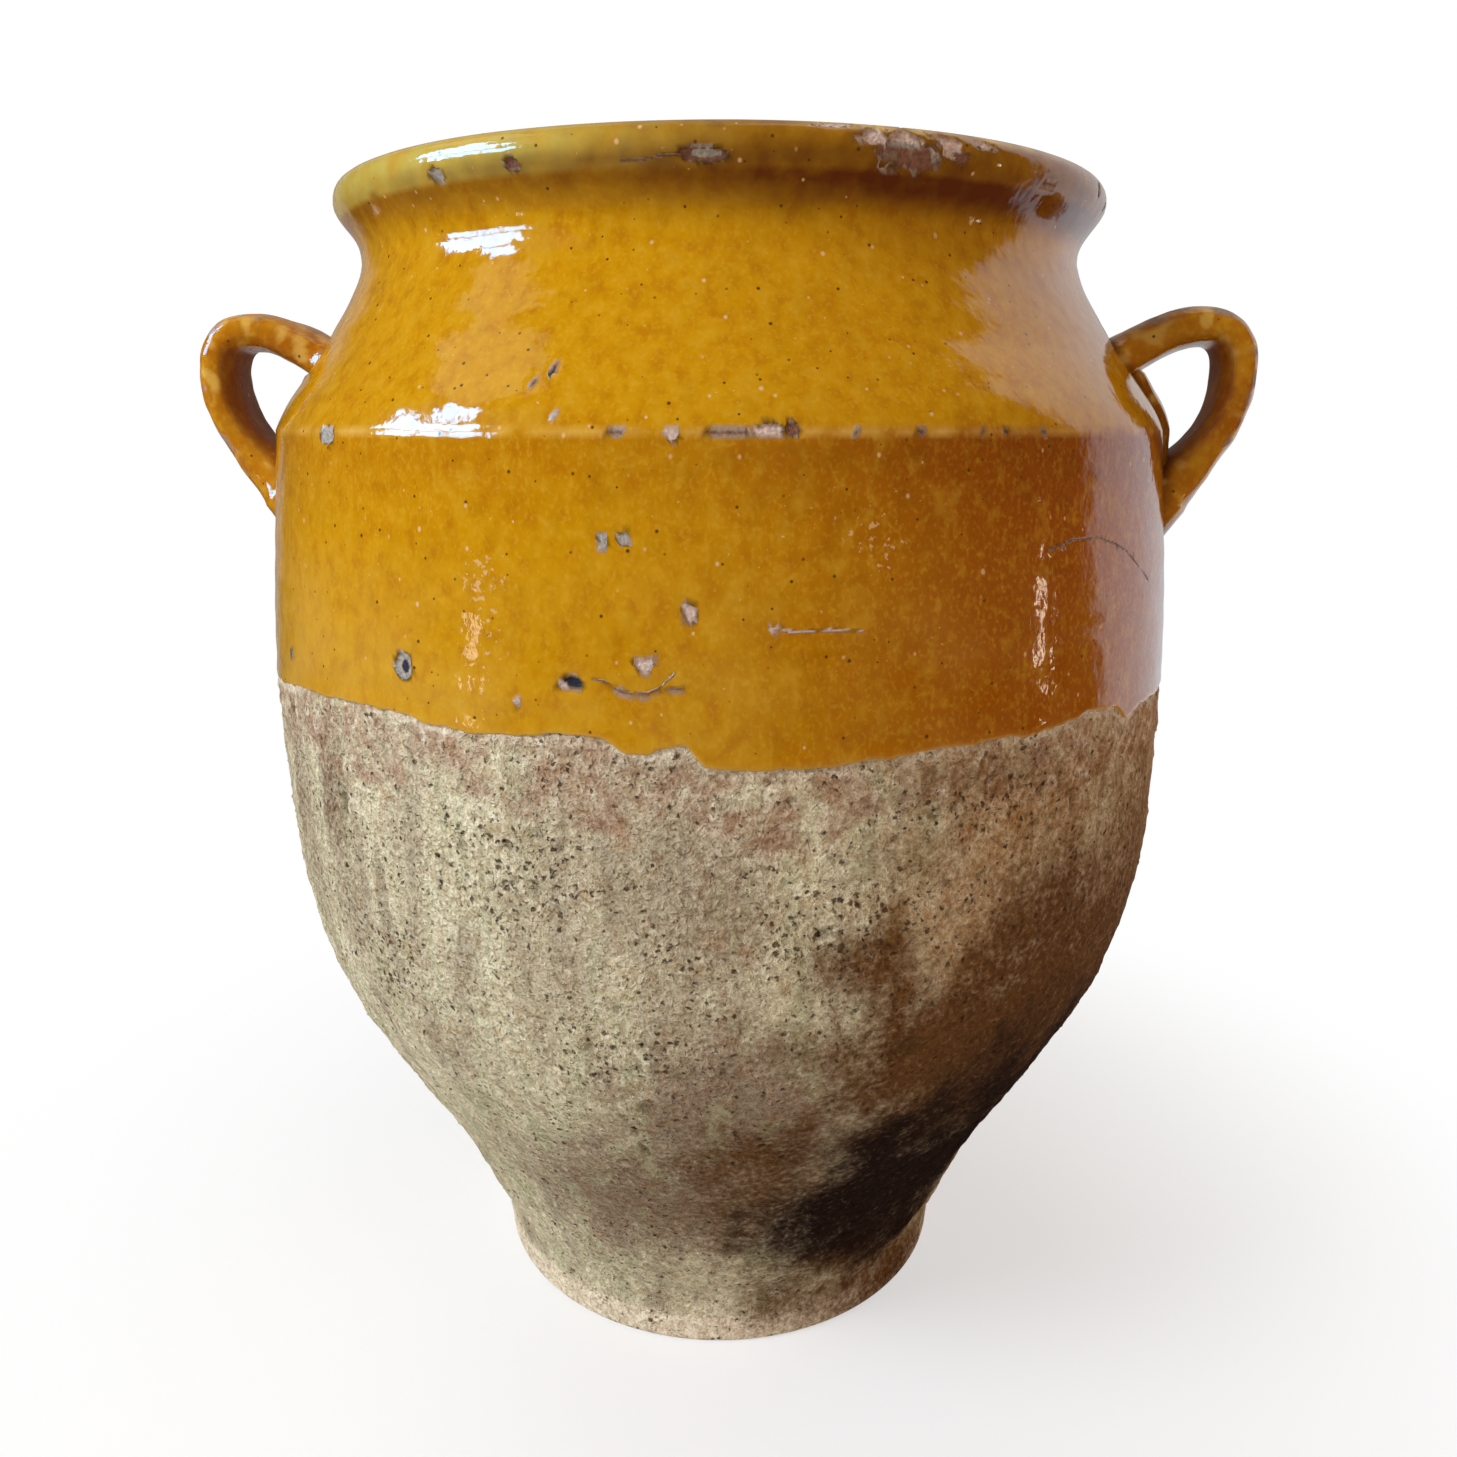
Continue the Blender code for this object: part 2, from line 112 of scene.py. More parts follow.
def rough_field(places: np.ndarray, size: float, seed: float) -> np.ndarray:
    """Smooth noise between about -1 and 1 at each place.

    Args:
        places: points in metres, one row each.
        size: the width of one lump, in metres.
        seed: shifts the pattern, so that two fields differ.

    Returns:
        One value for each place.
    """
    scaled = places / size + seed
    return np.array([noise.noise(Vector(place)) for place in scaled])


# The shape of the pot, as stations on its profile


@dataclass(frozen=True)
class ThrownProfile:
    """Outside of the pot as it left the wheel: stations of height and radius, and the rim."""

    foot_radius: float = 70.0 * MM
    foot_edge: float = 2.0 * MM
    wall_stations: tuple[tuple[float, float], ...] = (
        (12.5, 71.0), (29.5, 78.0), (53.0, 88.9), (80.5, 105.1), (108.0, 119.3), (131.0, 125.1),
        (187.0, 129.2), (257.0, 125.1),
    )
    shoulder_stations: tuple[tuple[float, float], ...] = ((257.0, 125.1), (280.7, 109.8), (302.2, 100.0))
    ridge_slope: float = -0.36
    hollow_start: float = 299.6 * MM
    hollow_bend: float = 1.4
    rim_centre: tuple[float, float] = (100.05 * MM, 314.0 * MM)
    rim_width: float = 13.5 * MM
    rim_height: float = 11.0 * MM
    rim_fullness: float = 2.5
    rim_turns: tuple[float, float] = (90.0, 262.0)
    wall_thickness: float = 9.5 * MM
    floor_height: float = 13.0 * MM
    floor_corner: float = 16.0 * MM
    lip_step: float = 1.8 * MM

    @property
    def ridge(self) -> float:
        """Height of the sharp ridge."""
        return self.wall_stations[-1][0] * MM

    @property
    def neck(self) -> float:
        """Height of the narrowest part of the neck."""
        return self.shoulder_stations[-1][0] * MM

    def slopes(self, stations: np.ndarray, first: float, last: float | None) -> np.ndarray:
        """Slope of the profile at each station.

        Args:
            stations: rows of height and radius.
            first: slope at the lowest station.
            last: slope at the highest one, or None to run straight on.

        Returns:
            One slope for each station.
        """
        rises = np.diff(stations[:, 0])
        steps = np.diff(stations[:, 1]) / rises
        inner = (steps[:-1] * rises[1:] + steps[1:] * rises[:-1]) / (rises[1:] + rises[:-1])
        return np.concatenate(([first], inner, [steps[-1] if last is None else last]))

    def radius(self, heights: np.ndarray) -> np.ndarray:
        """Outside radius at each height, from the top of the foot to the neck."""
        wall = np.array(self.wall_stations) * MM
        shoulder = np.array(self.shoulder_stations) * MM
        foot_slope = (wall[0, 1] - self.foot_radius) / wall[0, 0]
        low = self.curve(heights, wall, self.slopes(wall, foot_slope, None))
        high = self.curve(heights, shoulder, self.slopes(shoulder, self.ridge_slope, 0.0))
        foot = self.foot_radius + foot_slope * heights
        return np.where(heights > self.ridge, high, np.where(heights < wall[0, 0], foot, low))

    def curve(self, heights: np.ndarray, stations: np.ndarray, slopes: np.ndarray) -> np.ndarray:
        """Radius at each height on cubic pieces through the stations.

        Args:
            heights: heights in metres.
            stations: rows of height and radius.
            slopes: slope at each station.

        Returns:
            One radius for each height.
        """
        z, r = stations[:, 0], stations[:, 1]
        held = np.clip(heights, z[0], z[-1])
        i = np.clip(np.searchsorted(z, held, side="right") - 1, 0, len(z) - 2)
        span = z[i + 1] - z[i]
        t = (held - z[i]) / span
        start = r[i] * (1 + 2 * t) * (1 - t) ** 2 + slopes[i] * span * t * (1 - t) ** 2
        return start + r[i + 1] * t * t * (3 - 2 * t) + slopes[i + 1] * span * t * t * (t - 1)

    def rim_roll(self, spacing: float) -> np.ndarray:
        """Points of the rolled rim, from the hollow of the neck over the crest to the inside.

        Args:
            spacing: distance between points, in metres.

        Returns:
            Rows of radius and height.
        """
        first, last = (math.radians(turn) for turn in self.rim_turns)
        half = np.array((self.rim_width, self.rim_height)) / 2
        count = int((last - first) * half.mean() / spacing) + 2
        turns = np.linspace(first, last, count)
        swing = np.stack((np.sin(turns), -np.cos(turns)), axis=1)
        roll = np.sign(swing) * np.abs(swing) ** (2 / self.rim_fullness)
        roll = np.array(self.rim_centre) + roll * half
        climb = even(self.hollow_start, roll[0, 1], spacing)
        share = (climb - self.hollow_start) / (roll[0, 1] - self.hollow_start)
        start = float(self.radius(np.array([self.hollow_start]))[0])
        flare = start + (roll[0, 0] - start) * ease(share**self.hollow_bend, 0.0, 1.0)
        return np.concatenate((np.stack((flare, climb), axis=1), roll))

    def outside(self, low: float, spacing: float) -> np.ndarray:
        """Points of the outside, from a height up over the rim to the inner lip.

        Args:
            low: height of the first point, in metres.
            spacing: distance between points, in metres.

        Returns:
            Rows of radius and height.
        """
        below = even(low, self.ridge, spacing)
        heights = np.concatenate((below, even(self.ridge, self.hollow_start, spacing)))
        wall = np.stack((self.radius(heights), heights), axis=1)
        return np.concatenate((wall, self.rim_roll(spacing * RIM_SPACING_SHARE), [self.lip]))

    @property
    def lip(self) -> tuple[float, float]:
        """Radius and height of the inner lip, where coat and lining meet."""
        inside = self.shoulder_stations[-1][1] * MM - self.wall_thickness
        return (inside + self.lip_step, self.rim_centre[1] - self.rim_height / 2 - self.lip_step)

    def inside(self, spacing: float) -> np.ndarray:
        """Points of the inside, from the lip down to the centre of the floor.

        Args:
            spacing: distance between points, in metres.

        Returns:
            Rows of radius and height.
        """
        corner_top = self.floor_height + self.floor_corner
        heights = even(self.neck, corner_top, spacing)
        wall = np.stack((self.radius(heights) - self.wall_thickness, heights), axis=1)
        turns = np.linspace(0.0, math.pi / 2, int(self.floor_corner * math.pi / 2 / spacing) + 3)
        corner_radius = float(self.radius(np.array([corner_top]))[0]) - self.wall_thickness
        centre = np.array((corner_radius - self.floor_corner, corner_top))
        corner = centre + self.floor_corner * np.stack((np.cos(turns), -np.sin(turns)), axis=1)
        floor_radii = even(corner[-1, 0], 0.0, spacing)[1:]
        floor = np.stack((floor_radii, np.full(len(floor_radii), self.floor_height)), axis=1)
        return np.concatenate(([self.lip], wall, corner, floor, [(0.0, self.floor_height)]))


def even(low: float, high: float, spacing: float) -> np.ndarray:
    """Evenly spaced values from low towards high, with high left out."""
    return np.linspace(low, high, max(int(abs(high - low) / spacing), 1) + 1)[:-1]


def outward(line: np.ndarray) -> np.ndarray:
    """Direction square to each point of a line, to the right of travel."""
    travel = np.gradient(line, axis=0)
    travel /= np.linalg.norm(travel, axis=1, keepdims=True)
    return np.stack((travel[:, 1], -travel[:, 0]), axis=1)


def sunk(points: np.ndarray, depth: float) -> np.ndarray:
    """Move profile points into the clay.

    Args:
        points: rows of radius and height, with the clay to the left of travel.
        depth: distance in metres.

    Returns:
        The moved points, none of them past the axis.
    """
    moved = points - outward(points) * depth
    moved[:, 0] = np.maximum(moved[:, 0], 0.0)
    return moved


@dataclass(frozen=True)
class DipLine:
    """Lower edge of the outside glaze: where the pot was held upside down in the tub."""

    mean: float = 192.3 * MM
    course: tuple[tuple[float, float], ...] = (
        (-180, 193.0), (-150, 191.4), (-115, 194.0), (-85, 193.2), (-64, 192.1), (-54, 194.6), (-44, 195.9),
        (-33, 196.1), (-30, 194.4), (-24, 193.7), (-14, 195.6), (-10.5, 194.8), (-8.8, 192.2), (-6.6, 191.8),
        (-5.2, 194.0), (-3.0, 194.0), (-1.4, 189.8), (4, 188.8), (13, 189.4), (20, 191.0), (33, 191.6),
        (41, 193.2), (47, 192.6), (49.5, 189.2), (52, 188.9), (55, 190.3), (68, 189.9), (100, 190.4),
        (130, 192.6), (158, 194.4),
    )
    ragged: float = 0.55 * MM
    ragged_width: float = 2.6 * MM
    wavy: float = 0.7 * MM
    wavy_width: float = 11.0 * MM
    settles_over: float = 45.0 * MM
    ragged_settles_over: float = 3.5 * MM

    def lift(self, angles: np.ndarray, heights: np.ndarray) -> np.ndarray:
        """How far each row near the line moves up to follow it.

        Args:
            angles: angles round the pot, in radians from the front.
            heights: heights on the plain profile, in metres.

        Returns:
            The rise of each point, in metres.
        """
        marks = np.array(self.course)
        line = np.interp(np.degrees(angles), marks[:, 0], marks[:, 1] * MM, period=360.0) - self.mean
        on_line = np.stack((np.sin(angles), -np.cos(angles), np.zeros(len(angles))), axis=1) * WALL_RADIUS
        away = np.abs(heights - self.mean)
        near = away < self.settles_over
        rise = np.zeros(len(angles))
        waves = self.wavy * rough_field(on_line[near], self.wavy_width, 3.1)
        teeth = self.ragged * rough_field(on_line[near], self.ragged_width, 7.7)
        rise[near] = (line[near] + waves) * (1 - away[near] / self.settles_over)
        rise[near] += teeth * (1 - ease(away[near], 0.0, self.ragged_settles_over))
        return rise


# Marks on the surface


class Wound(Enum):
    """What a mark shows: its tone runs from pale body clay, over grey and brown, to blue-black."""

    PINK_BODY = 0.0
    GREY_BODY = 0.33
    BROWN_SCAR = 0.67
    DARK_SCAR = 1.0


PINK, GREY, BROWN, DARK = Wound

@dataclass(frozen=True)
class Mark:
    """A chip, pit or dent: its place, its size along and up the surface, and its depth."""

    angle: float
    height: float
    width: float
    tall: float
    depth: float = 0.6
    wound: Wound = GREY
    turn: float = 0.0
    ragged: float = 0.22


class Soiling(Enum):
    """What a stain is made of, by the named value that it feeds; on the pot's right the tan, soil and char
    stains also hold painted shade.
    """

    DAMP = "damp"
    TAN = "tan"
    SOIL = "soil"
    CHAR = "char"


DAMP, TAN, SOIL, CHAR = Soiling

@dataclass(frozen=True)
class Stain:
    """A soft-edged stain: its place, half its width in degrees, half its height, its share."""

    kind: Soiling
    angle: float
    height: float
    wide: float
    tall: float
    share: float


@dataclass(frozen=True)
class Line:
    """A crack or scratch: places along it, its width and its depth."""

    places: tuple[tuple[float, float], ...]
    width: float = 0.7
    depth: float = 0.15
    wound: Wound = BROWN


def read_points(mesh: bpy.types.Mesh) -> list[np.ndarray]:
    """Read a mesh's points and its normals at them, one row each."""
    rows = []
    for source, key in ((mesh.vertices, "co"), (mesh.vertex_normals, "vector")):
        row = np.empty(len(source) * 3, dtype=np.float32)
        source.foreach_get(key, row)
        rows.append(row.reshape(-1, 3).astype(float))
    return rows


def store(mesh: bpy.types.Mesh, name: str, value: np.ndarray) -> None:
    """Keep a named value on a mesh, one number or one vector for each point."""
    kind, key = ("FLOAT", "value") if value.ndim == 1 else ("FLOAT_VECTOR", "vector")
    layer = mesh.attributes.get(name) or mesh.attributes.new(name, kind, "POINT")
    layer.data.foreach_set(key, value.astype(np.float32).ravel())


class Skin:
    """Points of a turned mesh, with their place round and up the pot and named values."""

    def __init__(self, mesh: bpy.types.Mesh) -> None:
        """Read the mesh's points, normals and exposed share."""
        self.mesh = mesh
        self.co, self.normal = read_points(mesh)
        self.exposed = np.empty(len(self.co), dtype=np.float32)
        mesh.attributes["exposed"].data.foreach_get("value", self.exposed)
        self.values: dict[str, np.ndarray] = {}
        self.locate()

    def locate(self) -> None:
        """Work out every point's angle, radius and height from where it lies now."""
        self.angle = np.arctan2(self.co[:, 0], -self.co[:, 1])
        self.radius = np.hypot(self.co[:, 0], self.co[:, 1])
        self.height = self.co[:, 2].copy()

    def place(self, radius: np.ndarray, height: np.ndarray) -> None:
        """Set every point by its radius and height, at its angle."""
        self.co = np.stack((radius * np.sin(self.angle), -radius * np.cos(self.angle), height), axis=1)

    def push(self, distance: np.ndarray) -> None:
        """Move every point along its normal."""
        self.co = self.co + self.normal * distance[:, None]

    def blend_in(self, name: str, mask: np.ndarray, value: float = 1.0) -> None:
        """Bring a named value towards a new one where the mask is full."""
        old = self.values.setdefault(name, np.zeros(len(self.co)))
        self.values[name] = old + (value - old) * mask

    def write(self) -> None:
        """Put the points and the named values back on the mesh."""
        self.mesh.vertices.foreach_set("co", self.co.astype(np.float32).ravel())
        for name, value in self.values.items():
            store(self.mesh, name, value)
        self.mesh.update()


class Surface:
    """Where a mark lies: its centre and the directions along and up the surface."""

    def __init__(self, profile: np.ndarray, angle: float, height: float) -> None:
        """Find the place on a profile whose rows climb to the crest.

        Args:
            profile: rows of radius and height.
            angle: degrees from the front.
            height: height in metres.
        """
        crest = int(np.argmax(profile[:, 1]))
        row = int(np.clip(np.searchsorted(profile[: crest + 1, 1], height), 1, crest))
        low, high = profile[row - 1], profile[row]
        share = np.clip((height - low[1]) / max(high[1] - low[1], 1e-9), 0.0, 1.0)
        radius, up = low + (high - low) * share, high - low
        up = up / np.linalg.norm(up)
        turn = math.radians(angle)
        out = np.array((math.sin(turn), -math.cos(turn), 0.0))
        self.centre = out * radius[0] + np.array((0.0, 0.0, radius[1]))
        self.along = np.array((math.cos(turn), math.sin(turn), 0.0))
        self.up = out * up[0] + np.array((0.0, 0.0, up[1]))

    def local(self, places: np.ndarray) -> tuple[np.ndarray, np.ndarray, np.ndarray]:
        """Distances of each place along, up and off the surface, in metres."""
        reach = places - self.centre
        off = np.cross(self.along, self.up)
        return reach @ self.along, reach @ self.up, reach @ off


def mark_distance(mark: Mark, skin: Skin, profile: np.ndarray) -> np.ndarray:
    """Distance of every point from a mark's middle, 1 on its ragged outline.

    Args:
        mark: the mark.
        skin: the points.
        profile: rows of radius and height of the skin's own outside.

    Returns:
        One distance for each point, large where the mark can't reach.
    """
    spot = Surface(profile, mark.angle, mark.height * MM)
    along, up, off = spot.local(skin.co)
    turn = math.radians(mark.turn)
    u = (along * math.cos(turn) + up * math.sin(turn)) / (mark.width * MM / 2)
    v = (up * math.cos(turn) - along * math.sin(turn)) / (mark.tall * MM / 2)
    distance = np.full(len(u), 9.0)
    reach = np.hypot(u, v)
    near = (reach < 2.2) & (np.abs(off) < max(mark.width, mark.tall) * MM)
    lumps = rough_field(skin.co[near], min(mark.width, mark.tall) * MM * 0.42, mark.angle)
    grit = rough_field(skin.co[near], 0.8 * MM, mark.height)
    distance[near] = reach[near] * (1 + mark.ragged * lumps + 0.10 * grit)
    return distance


def line_distance(line: Line, skin: Skin) -> np.ndarray:
    """Distance of every point from a crack or scratch, in metres along the wall.

    Args:
        line: the crack or scratch.
        skin: the points.

    Returns:
        One distance for each point.
    """
    radius = float(skin.radius.max())
    points = np.stack((skin.angle * radius, skin.height), axis=1)
    nearest = np.full(len(points), 9.0)
    for (a0, z0), (a1, z1) in zip(line.places, line.places[1:]):
        start = np.array((math.radians(a0) * radius, z0 * MM))
        reach = np.array((math.radians(a1) * radius, z1 * MM)) - start
        share = np.clip((points - start) @ reach / (reach @ reach), 0.0, 1.0)
        gap = np.linalg.norm(points - start - share[:, None] * reach, axis=1)
        nearest = np.minimum(nearest, gap)
    return nearest


def refine(mesh: bpy.types.Mesh, wanted: np.ndarray) -> None:
    """Halve every edge whose two ends are wanted, and grid the faces between them.

    Args:
        mesh: the mesh to change.
        wanted: one truth value for each point.
    """
    bm = bmesh.new()
    bm.from_mesh(mesh)
    bm.verts.ensure_lookup_table()
    edges = [edge for edge in bm.edges if wanted[edge.verts[0].index] and wanted[edge.verts[1].index]]
    bmesh.ops.subdivide_edges(bm, edges=edges, cuts=1, use_grid_fill=True)
    bm.to_mesh(mesh)
    bm.free()
    mesh.update()


# Geometry Nodes trees


class GrowingTree:
    """A Geometry Nodes tree that grows a piece from its named inputs."""

    title = ""
    sockets: tuple[tuple[str, str], ...] = ()

    def __init__(self) -> None:
        """Build the tree, with its named inputs, and give what it grows its material."""
        self.tree = tree = bpy.data.node_groups.new(self.title, "GeometryNodeTree")
        for label, kind in (("Geometry", "Geometry"), *self.sockets, ("Material", "Material")):
            tree.interface.new_socket(label, in_out="INPUT", socket_type=f"NodeSocket{kind}")
        tree.interface.new_socket("Geometry", in_out="OUTPUT", socket_type="NodeSocketGeometry")
        given = add(tree, "NodeGroupInput")
        real = add(tree, "GeometryNodeRealizeInstances", {"Geometry": self.wire(given)})[0]
        coloured = add(tree, "GeometryNodeSetMaterial", {"Geometry": real, "Material": given["Material"]})[0]
        add(tree, "NodeGroupOutput", {0: coloured})

    def wire(self, given: Outputs) -> bpy.types.NodeSocket:
        """Add and link the nodes that grow the piece.

        Args:
            given: the tree's named inputs.

        Returns:
            The grown geometry.
        """
        raise NotImplementedError


class WheelTree(GrowingTree):
    """Turns a profile into a closed body, with the rings that the fingers left."""

    title = "wheel_thrown"
    sockets = (
        ("Profile", "Object"),
        ("Columns", "Int"),
        ("Ring Pitch", "Float"),
        ("Ring Depth", "Float"),
        ("Wobble", "Float"),
        ("Wobble Width", "Float"),
        ("Seed", "Float"),
    )

    def wire(self, given: Outputs) -> bpy.types.NodeSocket:
        """Lay a grid round the axis, one column for each copy of the profile, and close it.

        Args:
            given: the tree's named inputs.

        Returns:
            The turned body.
        """
        tree = self.tree
        profile = add(tree, "GeometryNodeObjectInfo", {"Object": given["Profile"]})["Geometry"]
        rows = add(tree, "GeometryNodeAttributeDomainSize", {0: profile}, component="MESH")["Point Count"]
        around = add(tree, MATH, {0: given["Columns"], 1: 1.0}, operation="ADD")[0]
        grid = add(tree, "GeometryNodeMeshGrid", {"Vertices X": around, "Vertices Y": rows})["Mesh"]
        index = add(tree, "GeometryNodeInputIndex")[0]
        over = add(tree, MATH, {0: index, 1: rows}, operation="DIVIDE")[0]
        column = add(tree, MATH, {0: over}, operation="FLOOR")[0]
        row = add(tree, MATH, {0: index, 1: rows}, operation="MODULO")[0]
        turn = add(tree, MATH, {0: column, 1: math.tau}, operation="MULTIPLY")[0]
        angle = add(tree, MATH, {0: turn, 1: given["Columns"]}, operation="DIVIDE")[0]

        position = add(tree, "GeometryNodeInputPosition")[0]
        read = {"Geometry": profile, "Index": row}
        place = add(tree, "GeometryNodeSampleIndex", {**read, "Value": position}, data_type="FLOAT_VECTOR")
        part = add(tree, "ShaderNodeSeparateXYZ", {0: place[0]})
        shown = add(tree, "GeometryNodeInputNamedAttribute", {"Name": "exposed"}, data_type="FLOAT")[0]
        exposed = add(tree, "GeometryNodeSampleIndex", {**read, "Value": shown}, data_type="FLOAT")[0]
        sine = add(tree, MATH, {0: angle}, operation="SINE")[0]
        cosine = add(tree, MATH, {0: angle}, operation="COSINE")[0]
        front = add(tree, MATH, {0: cosine, 1: -1.0}, operation="MULTIPLY")[0]

        climb = add(tree, MATH, {0: part["Z"], 1: given["Ring Pitch"]}, operation="DIVIDE")[0]
        phase = add(tree, MATH, {0: climb, 1: math.tau, 2: angle}, operation="MULTIPLY_ADD")[0]
        ring = add(tree, MATH, {0: phase}, operation="SINE")[0]
        furrow = add(tree, MATH, {0: ring, 1: given["Ring Depth"]}, operation="MULTIPLY")[0]
        x = add(tree, MATH, {0: part["X"], 1: sine}, operation="MULTIPLY")[0]
        y = add(tree, MATH, {0: part["X"], 1: front}, operation="MULTIPLY")[0]
        spot = add(tree, "ShaderNodeCombineXYZ", {"X": x, "Y": y, "Z": part["Z"]})[0]
        fine = add(tree, MATH, {0: 1.0, 1: given["Wobble Width"]}, operation="DIVIDE")[0]
        lump = add(
            tree,
            NOISE,
            {"Vector": spot, "W": given["Seed"], "Scale": fine, "Detail": 2.0},
            noise_dimensions="4D",
        )[0]
        swing = add(tree, MATH, {0: lump, 1: 0.5}, operation="SUBTRACT")[0]
        wobble = add(tree, MATH, {0: swing, 1: given["Wobble"]}, operation="MULTIPLY")[0]
        shift = add(tree, MATH, {0: furrow, 1: wobble}, operation="ADD")[0]
        radius = add(tree, MATH, {0: shift, 1: exposed, 2: part["X"]}, operation="MULTIPLY_ADD")[0]

        out_x = add(tree, MATH, {0: radius, 1: sine}, operation="MULTIPLY")[0]
        out_y = add(tree, MATH, {0: radius, 1: front}, operation="MULTIPLY")[0]
        target = add(tree, "ShaderNodeCombineXYZ", {"X": out_x, "Y": out_y, "Z": part["Z"]})[0]
        kept = add(
            tree,
            "GeometryNodeStoreNamedAttribute",
            {"Geometry": grid, "Name": "exposed", "Value": exposed},
            data_type="FLOAT",
            domain="POINT",
        )[0]
        turned = add(tree, "GeometryNodeSetPosition", {"Geometry": kept, "Position": target})[0]
        return add(tree, "GeometryNodeMergeByDistance", {"Geometry": turned, "Distance": MERGE})[0]


class SweepTree(GrowingTree):
    """Sweeps a rounded section along a spine that holds its own widths and directions."""

    title = "pulled_strap"
    sockets = (("Spine", "Object"), ("Sides", "Int"), ("Fullness", "Float"))

    def wire(self, given: Outputs) -> bpy.types.NodeSocket:
        """Bend a grid round the spine, one row for each side of the section, and close it.

        Args:
            given: the tree's named inputs.

        Returns:
            The swept body.
        """
        tree = self.tree
        spine = add(tree, "GeometryNodeObjectInfo", {"Object": given["Spine"]})["Geometry"]
        steps = add(tree, "GeometryNodeAttributeDomainSize", {0: spine}, component="MESH")["Point Count"]
        ring = add(tree, MATH, {0: given["Sides"], 1: 1.0}, operation="ADD")[0]
        grid = add(tree, "GeometryNodeMeshGrid", {"Vertices X": steps, "Vertices Y": ring})["Mesh"]
        index = add(tree, "GeometryNodeInputIndex")[0]
        over = add(tree, MATH, {0: index, 1: ring}, operation="DIVIDE")[0]
        step = add(tree, MATH, {0: over}, operation="FLOOR")[0]
        corner = add(tree, MATH, {0: index, 1: ring}, operation="MODULO")[0]
        turn = add(tree, MATH, {0: corner, 1: math.tau}, operation="MULTIPLY")[0]
        angle = add(tree, MATH, {0: turn, 1: given["Sides"]}, operation="DIVIDE")[0]
        power = add(tree, MATH, {0: 2.0, 1: given["Fullness"]}, operation="DIVIDE")[0]
        position = add(tree, "GeometryNodeInputPosition")[0]
        read = {"Geometry": spine, "Index": step}
        place = add(tree, "GeometryNodeSampleIndex", {**read, "Value": position}, data_type="FLOAT_VECTOR")[0]
        for name, wave in (("across", "COSINE"), ("off", "SINE")):
            swing = add(tree, MATH, {0: angle}, operation=wave)[0]
            size = add(tree, MATH, {0: swing}, operation="ABSOLUTE")[0]
            full = add(tree, MATH, {0: size, 1: power}, operation="POWER")[0]
            sign = add(tree, MATH, {0: swing}, operation="SIGN")[0]
            share = add(tree, MATH, {0: full, 1: sign}, operation="MULTIPLY")[0]
            stored = add(tree, "GeometryNodeInputNamedAttribute", {"Name": name}, data_type="FLOAT_VECTOR")[0]
            reach = add(
                tree, "GeometryNodeSampleIndex", {**read, "Value": stored}, data_type="FLOAT_VECTOR"
            )[0]
            arm = add(tree, VECTOR, {0: reach, "Scale": share}, operation="SCALE")[0]
            place = add(tree, VECTOR, {0: place, 1: arm}, operation="ADD")[0]
        swept = add(tree, "GeometryNodeSetPosition", {"Geometry": grid, "Position": place})[0]
        return add(tree, "GeometryNodeMergeByDistance", {"Geometry": swept, "Distance": MERGE})[0]


class ScatterTree(GrowingTree):
    """Sinks small grains into a surface, thicker where a named value is high."""

    title = "scattered_grains"
    sockets = (
        ("Host", "Object"),
        ("Density", "Float"),
        ("Smallest", "Float"),
        ("Largest", "Float"),
        ("Flatness", "Float"),
        ("Where", "String"),
        ("Seed", "Int"),
    )

    def wire(self, given: Outputs) -> bpy.types.NodeSocket:
        """Scatter grains of many sizes and turn each one its own way.

        Args:
            given: the tree's named inputs.

        Returns:
            The grains.
        """
        tree = self.tree
        host = add(tree, "GeometryNodeObjectInfo", {"Object": given["Host"]})["Geometry"]
        where = add(tree, "GeometryNodeInputNamedAttribute", {"Name": given["Where"]}, data_type="FLOAT")[0]
        thick = add(tree, MATH, {0: where, 1: given["Density"]}, operation="MULTIPLY")[0]
        scatter = add(
            tree,
            "GeometryNodeDistributePointsOnFaces",
            {"Mesh": host, "Density": thick, "Seed": given["Seed"]},
            distribute_method="RANDOM",
        )
        grain = add(tree, "GeometryNodeMeshIcoSphere", {"Radius": 0.5, "Subdivisions": 1})["Mesh"]
        size = add(
            tree,
            "FunctionNodeRandomValue",
            {2: given["Smallest"], 3: given["Largest"], "Seed": given["Seed"]},
            data_type="FLOAT",
        )[1]
        squat = add(
            tree,
            "FunctionNodeRandomValue",
            {0: (0.7, 0.7, 0.6), 1: (1.25, 1.25, 1.0), "Seed": 5},
            data_type="FLOAT_VECTOR",
        )[0]
        flat = add(tree, "ShaderNodeCombineXYZ", {"X": 1.0, "Y": 1.0, "Z": given["Flatness"]})[0]
        shape = add(tree, VECTOR, {0: squat, 1: flat}, operation="MULTIPLY")[0]
        scale = add(tree, VECTOR, {0: shape, "Scale": size}, operation="SCALE")[0]
        spin = add(tree, "FunctionNodeRandomValue", {2: 0.0, 3: math.tau, "Seed": 9}, data_type="FLOAT")[1]
        yaw = add(tree, "ShaderNodeCombineXYZ", {"Z": spin})[0]
        turned = add(
            tree, "FunctionNodeRotateRotation", {0: scatter["Rotation"], 1: yaw}, rotation_space="LOCAL"
        )[0]
        feeds = {"Points": scatter["Points"], "Instance": grain, "Rotation": turned, "Scale": scale}
        return add(tree, "GeometryNodeInstanceOnPoints", feeds)[0]


